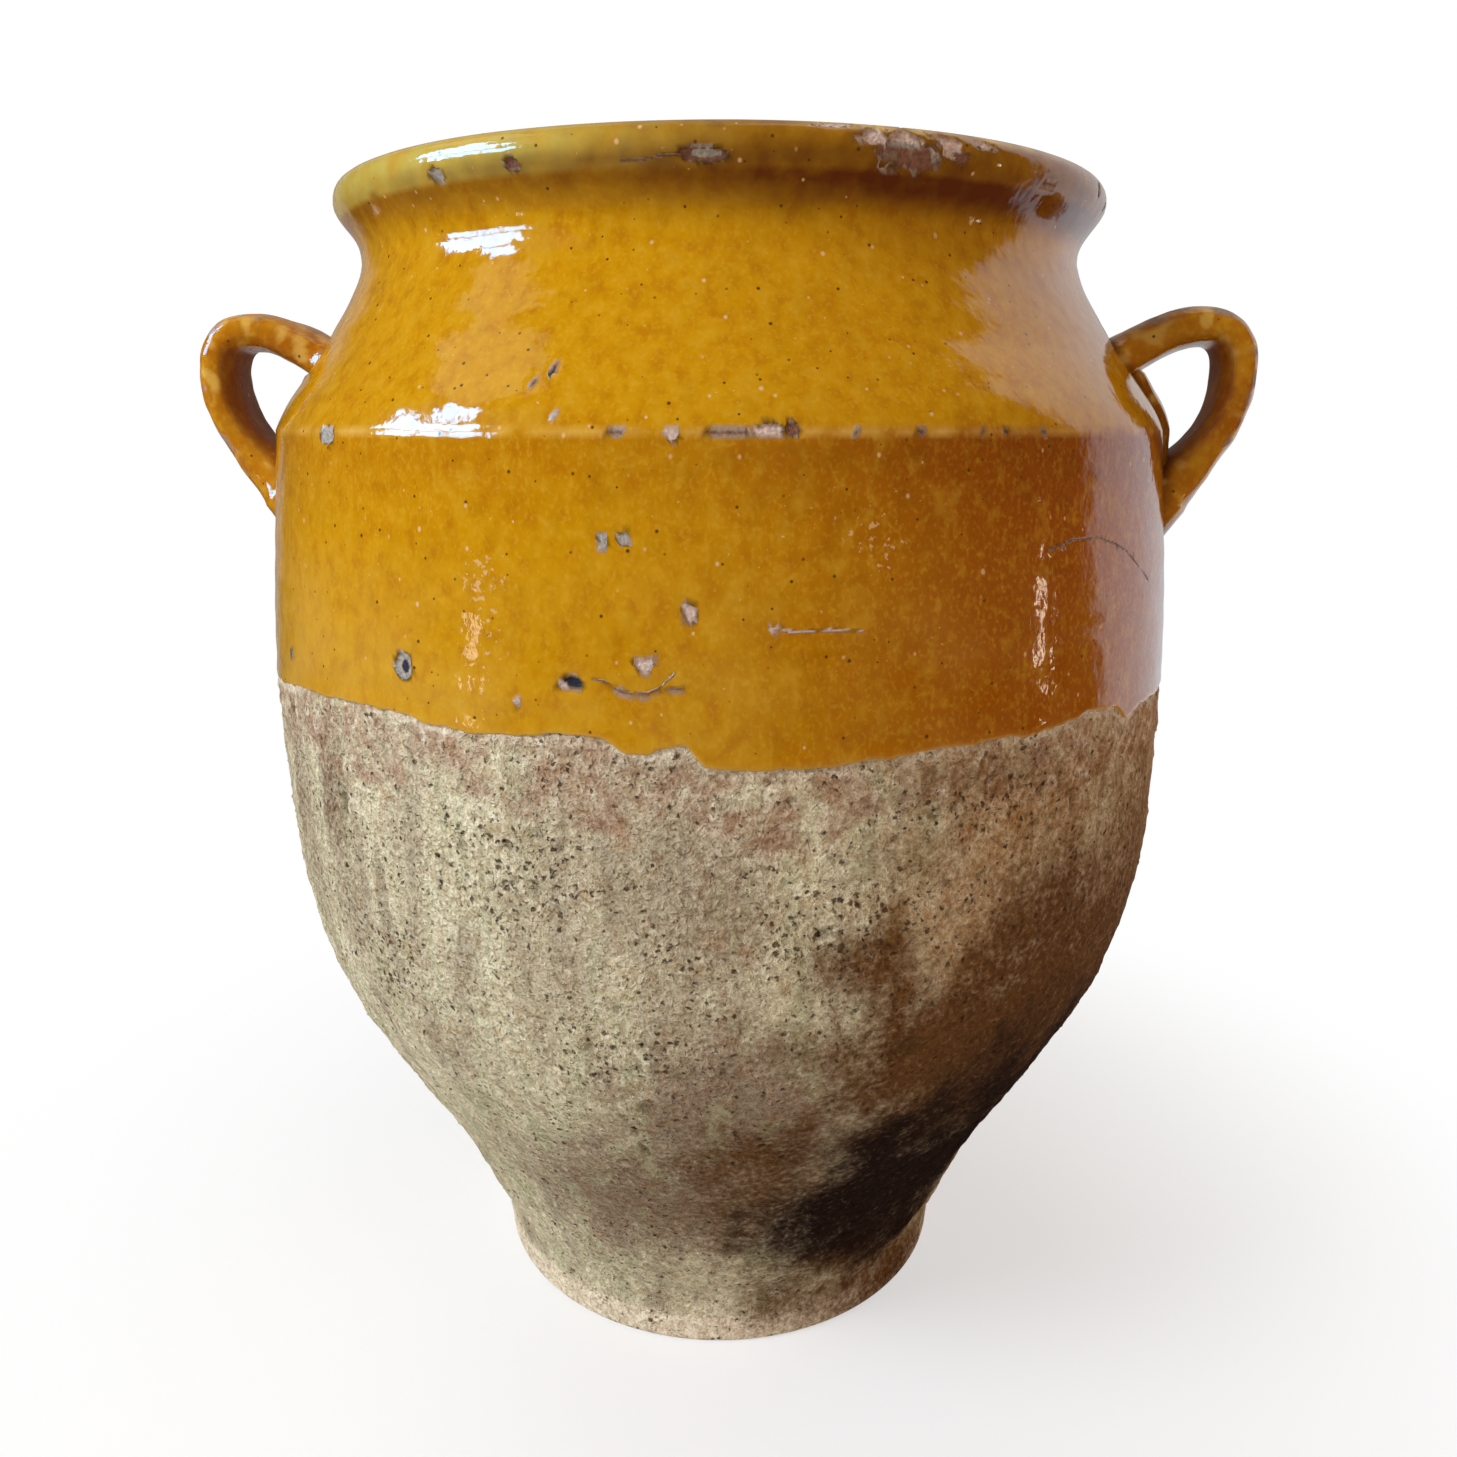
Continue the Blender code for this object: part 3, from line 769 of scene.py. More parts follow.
def grow(name: str, tree: bpy.types.NodeTree, inputs: dict[str, object]) -> bpy.types.Object:
    """Run a tree once and keep its result as a plain piece.

    Args:
        name: the piece's name.
        tree: the Geometry Nodes tree.
        inputs: the value of each named input.

    Returns:
        An object with the evaluated mesh and no modifier.
    """
    piece = bpy.data.objects.new(name, bpy.data.meshes.new(f"{name}_seed"))
    bpy.context.scene.collection.objects.link(piece)
    modifier = piece.modifiers.new("grow", "NODES")
    modifier.node_group = tree
    sockets = {item.name: item.identifier for item in tree.interface.items_tree if item.in_out == "INPUT"}
    for label, value in inputs.items():
        modifier[sockets[label]] = value
    graph = bpy.context.evaluated_depsgraph_get()
    mesh = bpy.data.meshes.new_from_object(piece.evaluated_get(graph), depsgraph=graph)
    piece.modifiers.remove(modifier)
    seed = piece.data
    piece.data = mesh
    bpy.data.meshes.remove(seed)
    mesh.name = name
    mesh.shade_smooth()
    return piece


def guide(name: str, points: np.ndarray, values: dict[str, np.ndarray]) -> bpy.types.Object:
    """Make a mesh of bare points that a tree reads, with named values on them.

    Args:
        name: the object's name.
        points: one row for each point.
        values: named values, one number or one vector for each point.

    Returns:
        The object, which `drop` removes after use.
    """
    mesh = bpy.data.meshes.new(name)
    mesh.from_pydata([tuple(point) for point in points], [], [])
    for label, value in values.items():
        store(mesh, label, value)
    item = bpy.data.objects.new(name, mesh)
    bpy.context.scene.collection.objects.link(item)
    return item


def drop(item: bpy.types.Object) -> None:
    """Remove a guide and its mesh."""
    mesh = item.data
    bpy.data.objects.remove(item, do_unlink=True)
    bpy.data.meshes.remove(mesh)


def face_outwards(mesh: bpy.types.Mesh) -> float:
    """Turn a closed mesh the right way round.

    Args:
        mesh: the mesh to check.

    Returns:
        Its volume in cubic metres.
    """
    bm = bmesh.new()
    bm.from_mesh(mesh)
    volume = bm.calc_volume(signed=True)
    if volume < 0:
        bmesh.ops.reverse_faces(bm, faces=bm.faces[:])
        bm.to_mesh(mesh)
    bm.free()
    return abs(volume)


def finish_piece(piece: bpy.types.Object, slot: str, nodes: Sequence[str] = ()) -> None:
    """Let a piece ride on the pot, log its size and slot, and hide the nodes that it stands for.

    Args:
        piece: the piece.
        slot: the record's material slot.
        nodes: the nodes that it replaces.
    """
    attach(piece, "root")
    if nodes:
        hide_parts(*nodes)
    faces = len(piece.data.polygons)
    triangles = sum(len(face.vertices) - 2 for face in piece.data.polygons)
    log.info("%s: %d faces, %d triangles, slot %s", piece.name, faces, triangles, slot)


# Finishes


def surface(name: str) -> tuple[bpy.types.Material, bpy.types.NodeTree, bpy.types.Node]:
    """Start a material.

    Args:
        name: the material's name.

    Returns:
        The material, its tree and its shader.
    """
    material = bpy.data.materials.new(name)
    material.use_nodes = True
    tree = material.node_tree
    return material, tree, tree.nodes["Principled BSDF"]


@dataclass(frozen=True)
class BareEarthenware:
    """Low-fired buff earthenware, thrown and left unglazed.

    It is matt and open: sand and grog stand out of it in crumbs, small pits catch dark
    soil, and a thin pinkish scum follows the wet edge of the glaze. Painted shade darkens
    the pits and the low parts of the crumbs, painted light brightens their tops, and the tan,
    soil and char stains also paint shade on the pot's right.
    """

    name: str = "bare_earthenware"
    buff: str = "#e6e1c6"
    pale: str = "#f1efd6"
    green: str = "#c3c6a6"
    grey: str = "#a69c88"
    damp: str = "#a3907c"
    pink: str = "#bfa68f"
    slip: str = "#e0d6c4"
    foot: str = "#fff6e2"
    # The tan, soil and char tints also stand in for painted shade on the pot's right and low on its belly.
    tan: str = "#b8894f"
    soil: str = "#755127"
    char: str = "#2e1a0b"
    pit: str = "#5c4526"
    crumb_width: float = 1.6 * MM
    sand_width: float = 0.6 * MM
    band_width: float = 22.0 * MM
    cloud_width: float = 18.0 * MM
    patch_width: float = 5.0 * MM
    streak_width: float = 8.0 * MM
    pit_pitch: float = 1.9 * MM
    grain_pitch: float = 1.5 * MM
    nest_width: float = 13 * MM
    ragged_width: float = 1.0 * MM
    ragged_reach: float = 2.2 * MM
    foot_heights: tuple[float, float] = (12 * MM, 7 * MM)
    roughness: float = 0.9
    specular: float = 0.25

    def build(self) -> bpy.types.Material:
        """Make the material."""
        material, tree, shader = surface(self.name)
        place = add(tree, "ShaderNodeTexCoord")["Object"]
        part = add(tree, "ShaderNodeSeparateXYZ", {0: place})
        drawn = add(tree, "ShaderNodeMapping", {0: place, "Scale": (1.0, 1.0, 0.12)})[0]
        banded = add(tree, "ShaderNodeMapping", {0: place, "Scale": (1.0, 1.0, 0.30)})[0]
        fields = {}
        for label, vector, width, detail, swirl in (
            ("cloud", place, self.cloud_width, 4.0, 0.3),
            ("band", banded, self.band_width, 3.0, 0.2),
            ("patch", place, self.patch_width, 4.0, 0.6),
            ("streak", drawn, self.streak_width, 3.0, 0.2),
            ("crumb", place, self.crumb_width, 4.0, 0.0),
            ("sand", place, self.sand_width, 2.0, 0.0),
        ):
            feeds = {"Vector": vector, "Scale": 1 / width, "Detail": detail}
            fields[label] = add(tree, NOISE, {**feeds, "Roughness": 0.6, "Distortion": swirl})[0]
        pits, depth = self.pits(tree, place)
        crumbled = add(tree, RANGE, {0: fields["crumb"], 1: 0.34, 2: 0.66, 3: 0.10, 4: -0.15})[0]

        cover = {}
        for name, crisp, field in (
            ("tan", 0.30, "patch"),
            ("damp", 0.30, "patch"),
            ("soil", 0.40, "patch"),
            ("char", 0.25, "patch"),
            ("pink", 0.9, "patch"),
            ("slip", 0.9, "crumb"),
        ):
            share = add(tree, VALUE, attribute_name=name)["Fac"]
            mottle = add(tree, MATH, {0: fields[field], 1: crisp, 2: share}, operation="MULTIPLY_ADD")[0]
            if field == "patch":
                mottle = add(tree, MATH, {0: crumbled, 1: share, 2: mottle}, operation="MULTIPLY_ADD")[0]
            cover[name] = add(
                tree,
                RANGE,
                {0: mottle, 1: 0.5 * crisp + 0.05, 2: 0.5 * crisp + 0.85},
                interpolation_type="SMOOTHSTEP",
            )[0]
        for name, field, low, high, most in (
            ("pale", "cloud", 0.48, 0.64, 0.8),
            ("band", "band", 0.50, 0.38, 0.34),
            ("green", "streak", 0.50, 0.66, 0.7),
            ("grey", "streak", 0.47, 0.34, 0.6),
            ("blotch", "patch", 0.54, 0.70, 0.30),
        ):
            cover[name] = add(tree, RANGE, {0: fields[field], 1: low, 2: high, 4: most})[0]
        top, low = self.foot_heights
        foot_band = add(tree, RANGE, {0: part["Z"], 1: top, 2: low}, interpolation_type="SMOOTHSTEP")[0]
        colour = linear(self.buff)
        layers = (
            (cover["pale"], self.pale),
            (cover["band"], self.damp),
            (cover["damp"], self.damp),
            (cover["green"], self.green),
            (cover["grey"], self.grey),
            (cover["pink"], self.pink),
            (cover["tan"], self.tan),
            (cover["blotch"], self.tan),
            (foot_band, self.foot),
            (cover["soil"], self.soil),
            (cover["char"], self.char),
            (cover["slip"], self.slip),
            (pits, self.pit),
        )
        for mask, tint in layers:
            colour = add(tree, MIX, {0: mask, 6: colour, 7: linear(tint)}, data_type="RGBA")[2]
        # Painted shade and light on the relief: the low parts of the crumb and sand noise, which the bumps
        # sink, are darkened and browned, and their tops are lightened.
        for field, low, high in (
            ("crumb", (0.72, 0.64, 0.52, 1.0), (1.18, 1.19, 1.18, 1.0)),
            ("sand", (0.82, 0.78, 0.72, 1.0), (1.16, 1.16, 1.15, 1.0)),
        ):
            height = add(tree, RANGE, {0: fields[field], 1: 0.32, 2: 0.66})[0]
            relief_shading = add(tree, MIX, {0: height, 6: low, 7: high}, data_type="RGBA")[2]
            colour = add(tree, MIX, {0: 1.0, 6: colour, 7: relief_shading}, data_type="RGBA", blend_type="MULTIPLY")[2]
        tree.links.new(colour, shader.inputs["Base Color"])
        shader.inputs["Roughness"].default_value = self.roughness
        shader.inputs["Specular IOR Level"].default_value = self.specular
        bump = add(tree, BUMP, {"Height": fields["crumb"], "Distance": 1.8 * MM, "Strength": 1.0})[0]
        for height, distance, inward in (
            (fields["patch"], 1.4 * MM, False),
            (fields["sand"], 0.30 * MM, False),
            (self.grains(tree, place), 0.55 * MM, False),
            (depth, 1.2 * MM, True),
        ):
            bump = add(
                tree,
                BUMP,
                {"Height": height, "Distance": distance, "Strength": 0.9, "Normal": bump},
                invert=inward,
            )[0]
        tree.links.new(bump, shader.inputs["Normal"])
        return material

    def grains(self, tree: bpy.types.NodeTree, place: bpy.types.NodeSocket) -> bpy.types.NodeSocket:
        """Add rounded grains of sand and grog, which stand out here and there.

        Args:
            tree: the material's tree.
            place: the coordinates.

        Returns:
            Their height.
        """
        cells = add(tree, CELLS, {"Vector": place, "Scale": 1 / self.grain_pitch})
        luck = add(tree, "ShaderNodeSeparateColor", {0: cells["Color"]})
        size = add(tree, RANGE, {0: luck[0], 1: 0.2, 2: 1.0, 3: 0.08, 4: 0.55})[0]
        return add(tree, RANGE, {0: cells["Distance"], 1: size, 2: 0.0}, interpolation_type="SMOOTHSTEP")[0]

    def pits(self, tree: bpy.types.NodeTree, place: bpy.types.NodeSocket) -> tuple:
        """Add open pits in clusters, painted dark: soil in them and painted shade.

        Args:
            tree: the material's tree.
            place: the coordinates.

        Returns:
            The pits' colour mask and their depth.
        """
        cluster = add(tree, NOISE, {"Vector": place, "Scale": 1 / self.nest_width, "Detail": 2.0})[0]
        nest = add(tree, VALUE, attribute_name="pitted")["Fac"]
        common = add(tree, RANGE, {0: cluster, 1: 0.44, 2: 0.62, 3: 0.16, 4: 0.85})[0]
        crowd = add(tree, MATH, {0: nest, 1: 0.6, 2: common}, operation="MULTIPLY_ADD")[0]
        warp = add(tree, NOISE, {"Vector": place, "Scale": 1 / self.ragged_width, "Detail": 4.0})[1]
        push = add(tree, VECTOR, {0: warp, "Scale": self.ragged_reach}, operation="SCALE")[0]
        bent = add(tree, VECTOR, {0: place, 1: push}, operation="ADD")[0]
        cells = add(tree, CELLS, {"Vector": bent, "Scale": 1 / self.pit_pitch})
        luck = add(tree, "ShaderNodeSeparateColor", {0: cells["Color"]})
        open_pit = add(tree, MATH, {0: luck[0], 1: crowd}, operation="LESS_THAN")[0]
        usual = add(tree, RANGE, {0: luck[1], 3: 0.10, 4: 0.42})[0]
        size = add(tree, MATH, {0: nest, 1: 0.10, 2: usual}, operation="MULTIPLY_ADD")[0]
        inner = add(tree, MATH, {0: size, 1: 0.35}, operation="MULTIPLY")[0]
        hollow = add(
            tree, RANGE, {0: cells["Distance"], 1: size, 2: inner}, interpolation_type="SMOOTHSTEP"
        )[0]
        depth = add(tree, MATH, {0: hollow, 1: open_pit}, operation="MULTIPLY")[0]
        # Pressed marks are painted dark too, as soil and painted shade in their hollows.
        scar = add(tree, VALUE, attribute_name="chip")["Fac"]
        mask = add(tree, MATH, {0: depth, 1: 0.88}, operation="MULTIPLY")[0]
        marked = add(tree, MATH, {0: scar, 1: 0.50, 2: mask}, operation="MULTIPLY_ADD")[0]
        return add(tree, "ShaderNodeClamp", {0: marked})[0], depth


@dataclass(frozen=True)
class OchreGlaze:
    """Clear lead-type glaze over a yellow slip, dipped and fired to a gloss.

    It is bright ochre where it lies thin, runs to brown where it gathers under the rim,
    and is freckled with iron. Its skin is rippled, so that reflections break up. Painted
    shade darkens its right side and deepens the brown under the rim, and painted highlights,
    light and glints lie on it in pale tints.
    """

    name: str = "ochre_glaze"
    ochre: str = "#c48d04"
    bright: str = "#d3a42a"
    amber: str = "#b57a04"
    # Painted shade: the darker, redder tint of the right side and of the band under the ridge.
    shaded: str = "#9e5002"
    deep: str = "#a96206"
    brown: str = "#632d03"
    olive: str = "#bfae55"
    body_pink: str = "#d2b9ab"
    body_grey: str = "#a7a094"
    body_brown: str = "#8a5c46"
    body_dark: str = "#24262b"
    outline: str = "#4d2f0a"
    freckle: str = "#5c3a0c"
    # Pale specks of spat glaze; the same colour paints the glints.
    spit_and_glint: str = "#dcae74"
    # Pale tint of thin and rubbed glaze, also used for painted highlights and painted light.
    worn: str = "#e2b95a"
    mottle_width: float = 1.0 * MM
    fleck_width: float = 3.6 * MM
    sparkle_width: float = 1.5 * MM
    cloud_width: float = 22.0 * MM
    run_width: float = 5.0 * MM
    ripple_width: float = 6.0 * MM
    skin_width: float = 1.6 * MM
    freckle_pitch: float = 3.8 * MM
    spit_pitch: float = 5.2 * MM
    grit_width: float = 0.8 * MM
    gloss_roughness: float = 0.07
    chip_roughness: float = 0.85
    dusty_roughness: float = 0.60
    ior: float = 1.62

    def build(self) -> bpy.types.Material:
        """Make the material."""
        material, tree, shader = surface(self.name)
        place = add(tree, "ShaderNodeTexCoord")["Object"]
        drawn = add(tree, "ShaderNodeMapping", {0: place, "Scale": (1.0, 1.0, 0.8)})[0]
        fields = {}
        for label, vector, width, detail in (
            ("mottle", drawn, self.mottle_width, 5.0),
            ("sparkle", place, self.sparkle_width, 2.0),
            ("fleck", drawn, self.fleck_width, 5.0),
            ("cloud", place, self.cloud_width, 3.0),
            ("runs", drawn, self.run_width, 2.0),
            ("ripple", place, self.ripple_width, 2.0),
            ("skin", place, self.skin_width, 2.0),
        ):
            feeds = {"Vector": vector, "Scale": 1 / width, "Detail": detail}
            fields[label] = add(tree, NOISE, feeds)[0]
        cover = {}
        for name in ("chip", "tone", "pool", "olive", "shade", "edge", "thin", "worn"):
            cover[name] = add(tree, VALUE, attribute_name=name)["Fac"]
        thin = add(tree, RANGE, {0: fields["mottle"], 1: 0.50, 2: 0.70, 4: 0.42})[0]
        thick = add(tree, RANGE, {0: fields["fleck"], 1: 0.50, 2: 0.30, 4: 0.50})[0]
        flushed = add(tree, RANGE, {0: fields["fleck"], 1: 0.52, 2: 0.72, 4: 0.40})[0]
        patch = add(tree, RANGE, {0: fields["cloud"], 1: 0.52, 2: 0.75, 4: 0.35})[0]
        gather = add(tree, MATH, {0: fields["runs"], 1: 0.5, 2: cover["pool"]}, operation="MULTIPLY_ADD")[0]
        pooled_and_shaded = add(tree, RANGE, {0: gather, 1: 0.25, 2: 1.25})[0]
        # Painted glints: pale specks where fine noise and the named glint value run high.
        glint = add(
            tree, MATH, {0: cover["worn"], 1: 0.20, 2: fields["sparkle"]}, operation="MULTIPLY_ADD"
        )[0]
        glinting = add(tree, RANGE, {0: glint, 1: 0.76, 2: 0.82, 4: 0.8})[0]
        colour = linear(self.ochre)
        # The shade layer is painted shade, and the pooled brown is pooled glaze and painted shade. The pale
        # tint over thin glaze also paints highlights and light, and the glinting specks are painted glints.
        layers = (
            (patch, self.amber),
            (cover["shade"], self.shaded),
            (thick, self.deep),
            (flushed, self.bright),
            (thin, self.bright),
            (cover["olive"], self.olive),
            (pooled_and_shaded, self.brown),
            (cover["thin"], self.worn),
            (self.specks(tree, place, self.freckle_pitch, 0.15), self.freckle),
            (self.specks(tree, drawn, self.spit_pitch, 0.13), self.spit_and_glint),
            (glinting, self.spit_and_glint),
            (cover["edge"], self.outline),
        )
        for mask, tint in layers:
            colour = add(tree, MIX, {0: mask, 6: colour, 7: linear(tint)}, data_type="RGBA")[2]
        body = linear(self.body_pink)
        for low, high, tint in (
            (0.05, 0.30, self.body_grey),
            (0.38, 0.62, self.body_brown),
            (0.72, 0.95, self.body_dark),
        ):
            share = add(tree, RANGE, {0: cover["tone"], 1: low, 2: high})[0]
            body = add(tree, MIX, {0: share, 6: body, 7: linear(tint)}, data_type="RGBA")[2]
        grit = add(tree, NOISE, {"Vector": place, "Scale": 1 / self.grit_width, "Detail": 3.0})[0]
        dirt = add(tree, RANGE, {0: grit, 1: 0.3, 2: 0.7, 3: 0.6, 4: 1.25})[0]
        body = add(tree, MIX, {0: 1.0, 6: body, 7: dirt}, data_type="RGBA", blend_type="MULTIPLY")[2]
        colour = add(tree, MIX, {0: cover["chip"], 6: colour, 7: body}, data_type="RGBA")[2]
        tree.links.new(colour, shader.inputs["Base Color"])
        rough = add(tree, MIX, {0: cover["chip"], 2: self.gloss_roughness, 3: self.chip_roughness})[0]
        dusty = add(tree, VALUE, attribute_name="dull")["Fac"]
        rough = add(tree, MIX, {0: dusty, 2: rough, 3: self.dusty_roughness})[0]
        tree.links.new(rough, shader.inputs["Roughness"])
        shader.inputs["IOR"].default_value = self.ior
        bump = add(tree, BUMP, {"Height": fields["ripple"], "Distance": 0.30 * MM, "Strength": 0.6})[0]
        bump = add(
            tree, BUMP, {"Height": fields["skin"], "Distance": 0.05 * MM, "Strength": 0.6, "Normal": bump}
        )[0]
        broken = add(tree, MATH, {0: grit, 1: cover["chip"]}, operation="MULTIPLY")[0]
        bump = add(tree, BUMP, {"Height": broken, "Distance": 0.5 * MM, "Strength": 0.8, "Normal": bump})[0]
        tree.links.new(bump, shader.inputs["Normal"])
        return material

    def specks(
        self, tree: bpy.types.NodeTree, place: bpy.types.NodeSocket, pitch: float, largest: float
    ) -> bpy.types.NodeSocket:
        """Add scattered specks.

        Args:
            tree: the material's tree.
            place: the coordinates.
            pitch: mean distance between specks, in metres.
            largest: radius of the largest one, as a share of the pitch.

        Returns:
            Their mask.
        """
        cells = add(tree, CELLS, {"Vector": place, "Scale": 1 / pitch})
        luck = add(tree, "ShaderNodeSeparateColor", {0: cells["Color"]})
        size = add(tree, RANGE, {0: luck[1], 3: 0.05, 4: largest})[0]
        inner = add(tree, MATH, {0: size, 1: 0.5}, operation="MULTIPLY")[0]
        return add(tree, RANGE, {0: cells["Distance"], 1: size, 2: inner})[0]


@dataclass(frozen=True)
class LiningGlaze(OchreGlaze):
    """The same glaze poured inside: thinner, duller and paler, worn by ladles."""

    name: str = "lining_glaze"
    ochre: str = "#bb8d3c"
    bright: str = "#cda858"
    amber: str = "#96662a"
    shaded: str = "#9a6c2e"
    deep: str = "#8c5f28"
    gloss_roughness: float = 0.22


@dataclass(frozen=True)
class StrapGlaze(OchreGlaze):
    """The dip over the pulled straps: browner, with rubbed and soiled edges, painted shade on the face
    towards the pot and painted highlights on the outer faces.
    """

    name: str = "glazed_strap_clay"
    ochre: str = "#c98a14"
    amber: str = "#8e5208"
    shaded: str = "#9c5204"
    mottle_width: float = 1.6 * MM


@dataclass(frozen=True)
class WadGlaze(OchreGlaze):
    """The dip over the luting clay, thick and brown in the corners, where the brown is also painted shade."""

    name: str = "glazed_luting_clay"
    ochre: str = "#b87a14"
    amber: str = "#7d4606"


# The pot's pieces


@dataclass(frozen=True)
class Vessel:
    """The thrown clay, its outside coat and its lining."""

    profile: ThrownProfile = ThrownProfile()
    dip: DipLine = DipLine()
    coat_thickness: float = 0.9 * MM
    coat_proud: float = 0.3 * MM
    clay_gap: float = 0.3 * MM
    clay_relief: float = 0.42 * MM
    rim_warp: float = 1.3 * MM
    rim_warp_heights: tuple[float, float] = (285 * MM, 311 * MM)
    bead: tuple[tuple[float, float], ...] = (
        (0.0, -0.5), (0.05, -0.15), (0.35, 0.10), (0.9, 0.20), (1.8, 0.14), (3.2, 0.05),
    )
    side_bulge: float = 1.6 * MM
    bulge_height: float = 133 * MM
    bulge_tall: float = 30 * MM
    bulge_angle: float = 92.0
    bulge_wide: float = 42.0
    bulge_least_radius: float = 60 * MM
    glaze_marks: tuple[Mark, ...] = (
        Mark(-45.5, 256.0, 6.0, 3.8, 0.5, GREY), Mark(-32.5, 204.2, 5.2, 6.4, 0.5, GREY),
        Mark(-32.4, 204.1, 1.9, 2.6, 0.5, DARK), Mark(-13.6, 204.0, 4.6, 2.8, 0.6, DARK),
        Mark(-14.6, 203.4, 1.8, 1.4, 0.4, PINK), Mark(-10.7, 235.5, 2.3, 3.2, 0.4, GREY),
        Mark(-8.7, 236.0, 2.6, 2.8, 0.4, GREY), Mark(-2.7, 221.2, 3.1, 3.5, 0.5, PINK),
        Mark(-6.8, 211.2, 3.9, 2.8, 0.5, PINK), Mark(-9.5, 256.8, 2.9, 1.7, 0.5, BROWN),
        Mark(-4.4, 256.6, 2.8, 2.6, 0.5, PINK), Mark(0.7, 257.1, 7.6, 2.2, 0.6, BROWN),
        Mark(4.3, 257.4, 7.0, 2.6, 0.6, PINK, 4.0), Mark(6.6, 257.6, 2.6, 3.0, 0.6, BROWN),
        Mark(12.5, 257.2, 1.5, 0.6, 0.3, BROWN), Mark(19.0, 257.2, 1.8, 0.6, 0.3, BROWN),
        Mark(26.0, 257.2, 1.2, 0.6, 0.3, BROWN), Mark(28.5, 257.2, 1.4, 0.6, 0.3, BROWN),
        Mark(33.6, 257.2, 2.0, 0.7, 0.3, BROWN), Mark(-24.4, 311.6, 3.4, 2.6, 0.6, BROWN),
        Mark(-35.9, 311.4, 4.0, 3.0, 0.6, GREY), Mark(-1.8, 311.8, 9.6, 2.9, 0.7, BROWN, -3.0),
        Mark(-1.4, 312.0, 6.0, 1.7, 0.5, GREY), Mark(13.0, 318.4, 9.0, 1.6, 0.4, PINK, 0.0, 0.6),
        Mark(17.4, 316.2, 6.0, 4.2, 0.7, PINK, 0.0, 0.7), Mark(18.6, 313.6, 3.6, 2.4, 0.6, BROWN, 20.0, 0.7),
        Mark(21.6, 315.2, 10.0, 6.6, 1.1, PINK, 0.0, 0.8),
        Mark(21.0, 312.4, 6.4, 3.4, 0.8, BROWN, -12.0, 0.8),
        Mark(24.4, 312.6, 5.4, 6.0, 1.2, BROWN, 0.0, 0.8), Mark(27.4, 315.4, 6.8, 4.6, 0.9, PINK, 0.0, 0.8),
        Mark(29.4, 313.6, 3.4, 2.2, 0.5, BROWN, 15.0, 0.7), Mark(32.4, 317.0, 6.0, 1.8, 0.5, PINK, 0.0, 0.7),
        Mark(46.0, 311.6, 7.0, 0.9, 0.3, BROWN, 6.0, 0.6), Mark(62.0, 314.6, 2.2, 3.2, 0.5, DARK),
        Mark(70.0, 313.0, 2.0, 2.4, 0.5, BROWN), Mark(68.5, 283.0, 4.0, 9.0, 0.6, BROWN),
        Mark(-18.7, 266.8, 1.0, 2.6, 0.3, DARK, -24.0), Mark(-16.9, 269.4, 1.1, 3.6, 0.3, DARK, -24.0),
        Mark(-19.0, 199.6, 1.6, 2.2, 0.4, PINK), Mark(-56.0, 201.0, 2.6, 1.8, 0.4, GREY),
        Mark(-15.6, 260.6, 1.6, 1.4, 0.3, GREY), Mark(128.0, 257.0, 7.0, 2.8, 0.6, PINK),
        Mark(141.0, 222.0, 4.2, 3.6, 0.5, GREY), Mark(163.0, 314.8, 8.0, 4.2, 0.9, BROWN),
        Mark(-165.0, 256.8, 5.0, 2.2, 0.5, BROWN), Mark(-152.0, 236.0, 3.2, 3.8, 0.5, PINK),
        Mark(-128.0, 209.0, 4.6, 3.0, 0.5, DARK), Mark(-112.0, 315.0, 5.0, 3.4, 0.7, GREY),
        Mark(176.0, 205.0, 3.4, 4.0, 0.5, GREY),
    )
    glaze_lines: tuple[Line, ...] = (
        Line(((4.6, 219.8), (7.0, 218.8), (10.0, 219.0), (13.2, 218.5)), 0.32, 0.08, PINK),
        Line(((-11.6, 205.6), (-9.0, 205.0), (-6.4, 205.3), (-3.2, 205.1)), 0.34, 0.1, BROWN),
        Line(((-5.4, 205.2), (-4.6, 207.0), (-4.0, 208.4)), 0.3, 0.1, PINK),
        Line(((34.0, 231.6), (38.0, 233.4), (43.0, 233.2), (49.0, 229.8), (56.0, 221.4)), 0.3, 0.08),
        Line(((-3.6, 311.9), (-6.0, 311.9), (-8.4, 311.2), (-11.0, 311.1)), 0.26, 0.15, BROWN),
        Line(((118.0, 236.0), (126.0, 229.0), (133.0, 227.5), (139.0, 221.0)), 0.32, 0.1, BROWN),
    )
    clay_marks: tuple[Mark, ...] = (
        Mark(-9.6, 87.4, 2.6, 5.0, 0.9, GREY, 24.0), Mark(-10.6, 97.0, 0.9, 15.0, 0.35, GREY, 14.0, 0.1),
        Mark(20.2, 118.8, 8.6, 7.6, 0.35, GREY), Mark(20.0, 118.6, 4.4, 4.0, 0.35, GREY),
        Mark(-44.4, 169.3, 3.0, 4.0, 0.8, GREY),
    )
    pit_count: int = 230
    nests: tuple[tuple[float, float, float, float], ...] = (
        (-23.0, 160.0, 9.0, 13.0), (13.0, 152.0, 11.0, 17.0), (-12.0, 120.0, 10.0, 9.0),
        (26.0, 178.0, 10.0, 7.0), (-40.0, 130.0, 8.0, 16.0), (150.0, 150.0, 20.0, 20.0),
        (-140.0, 100.0, 18.0, 22.0),
    )
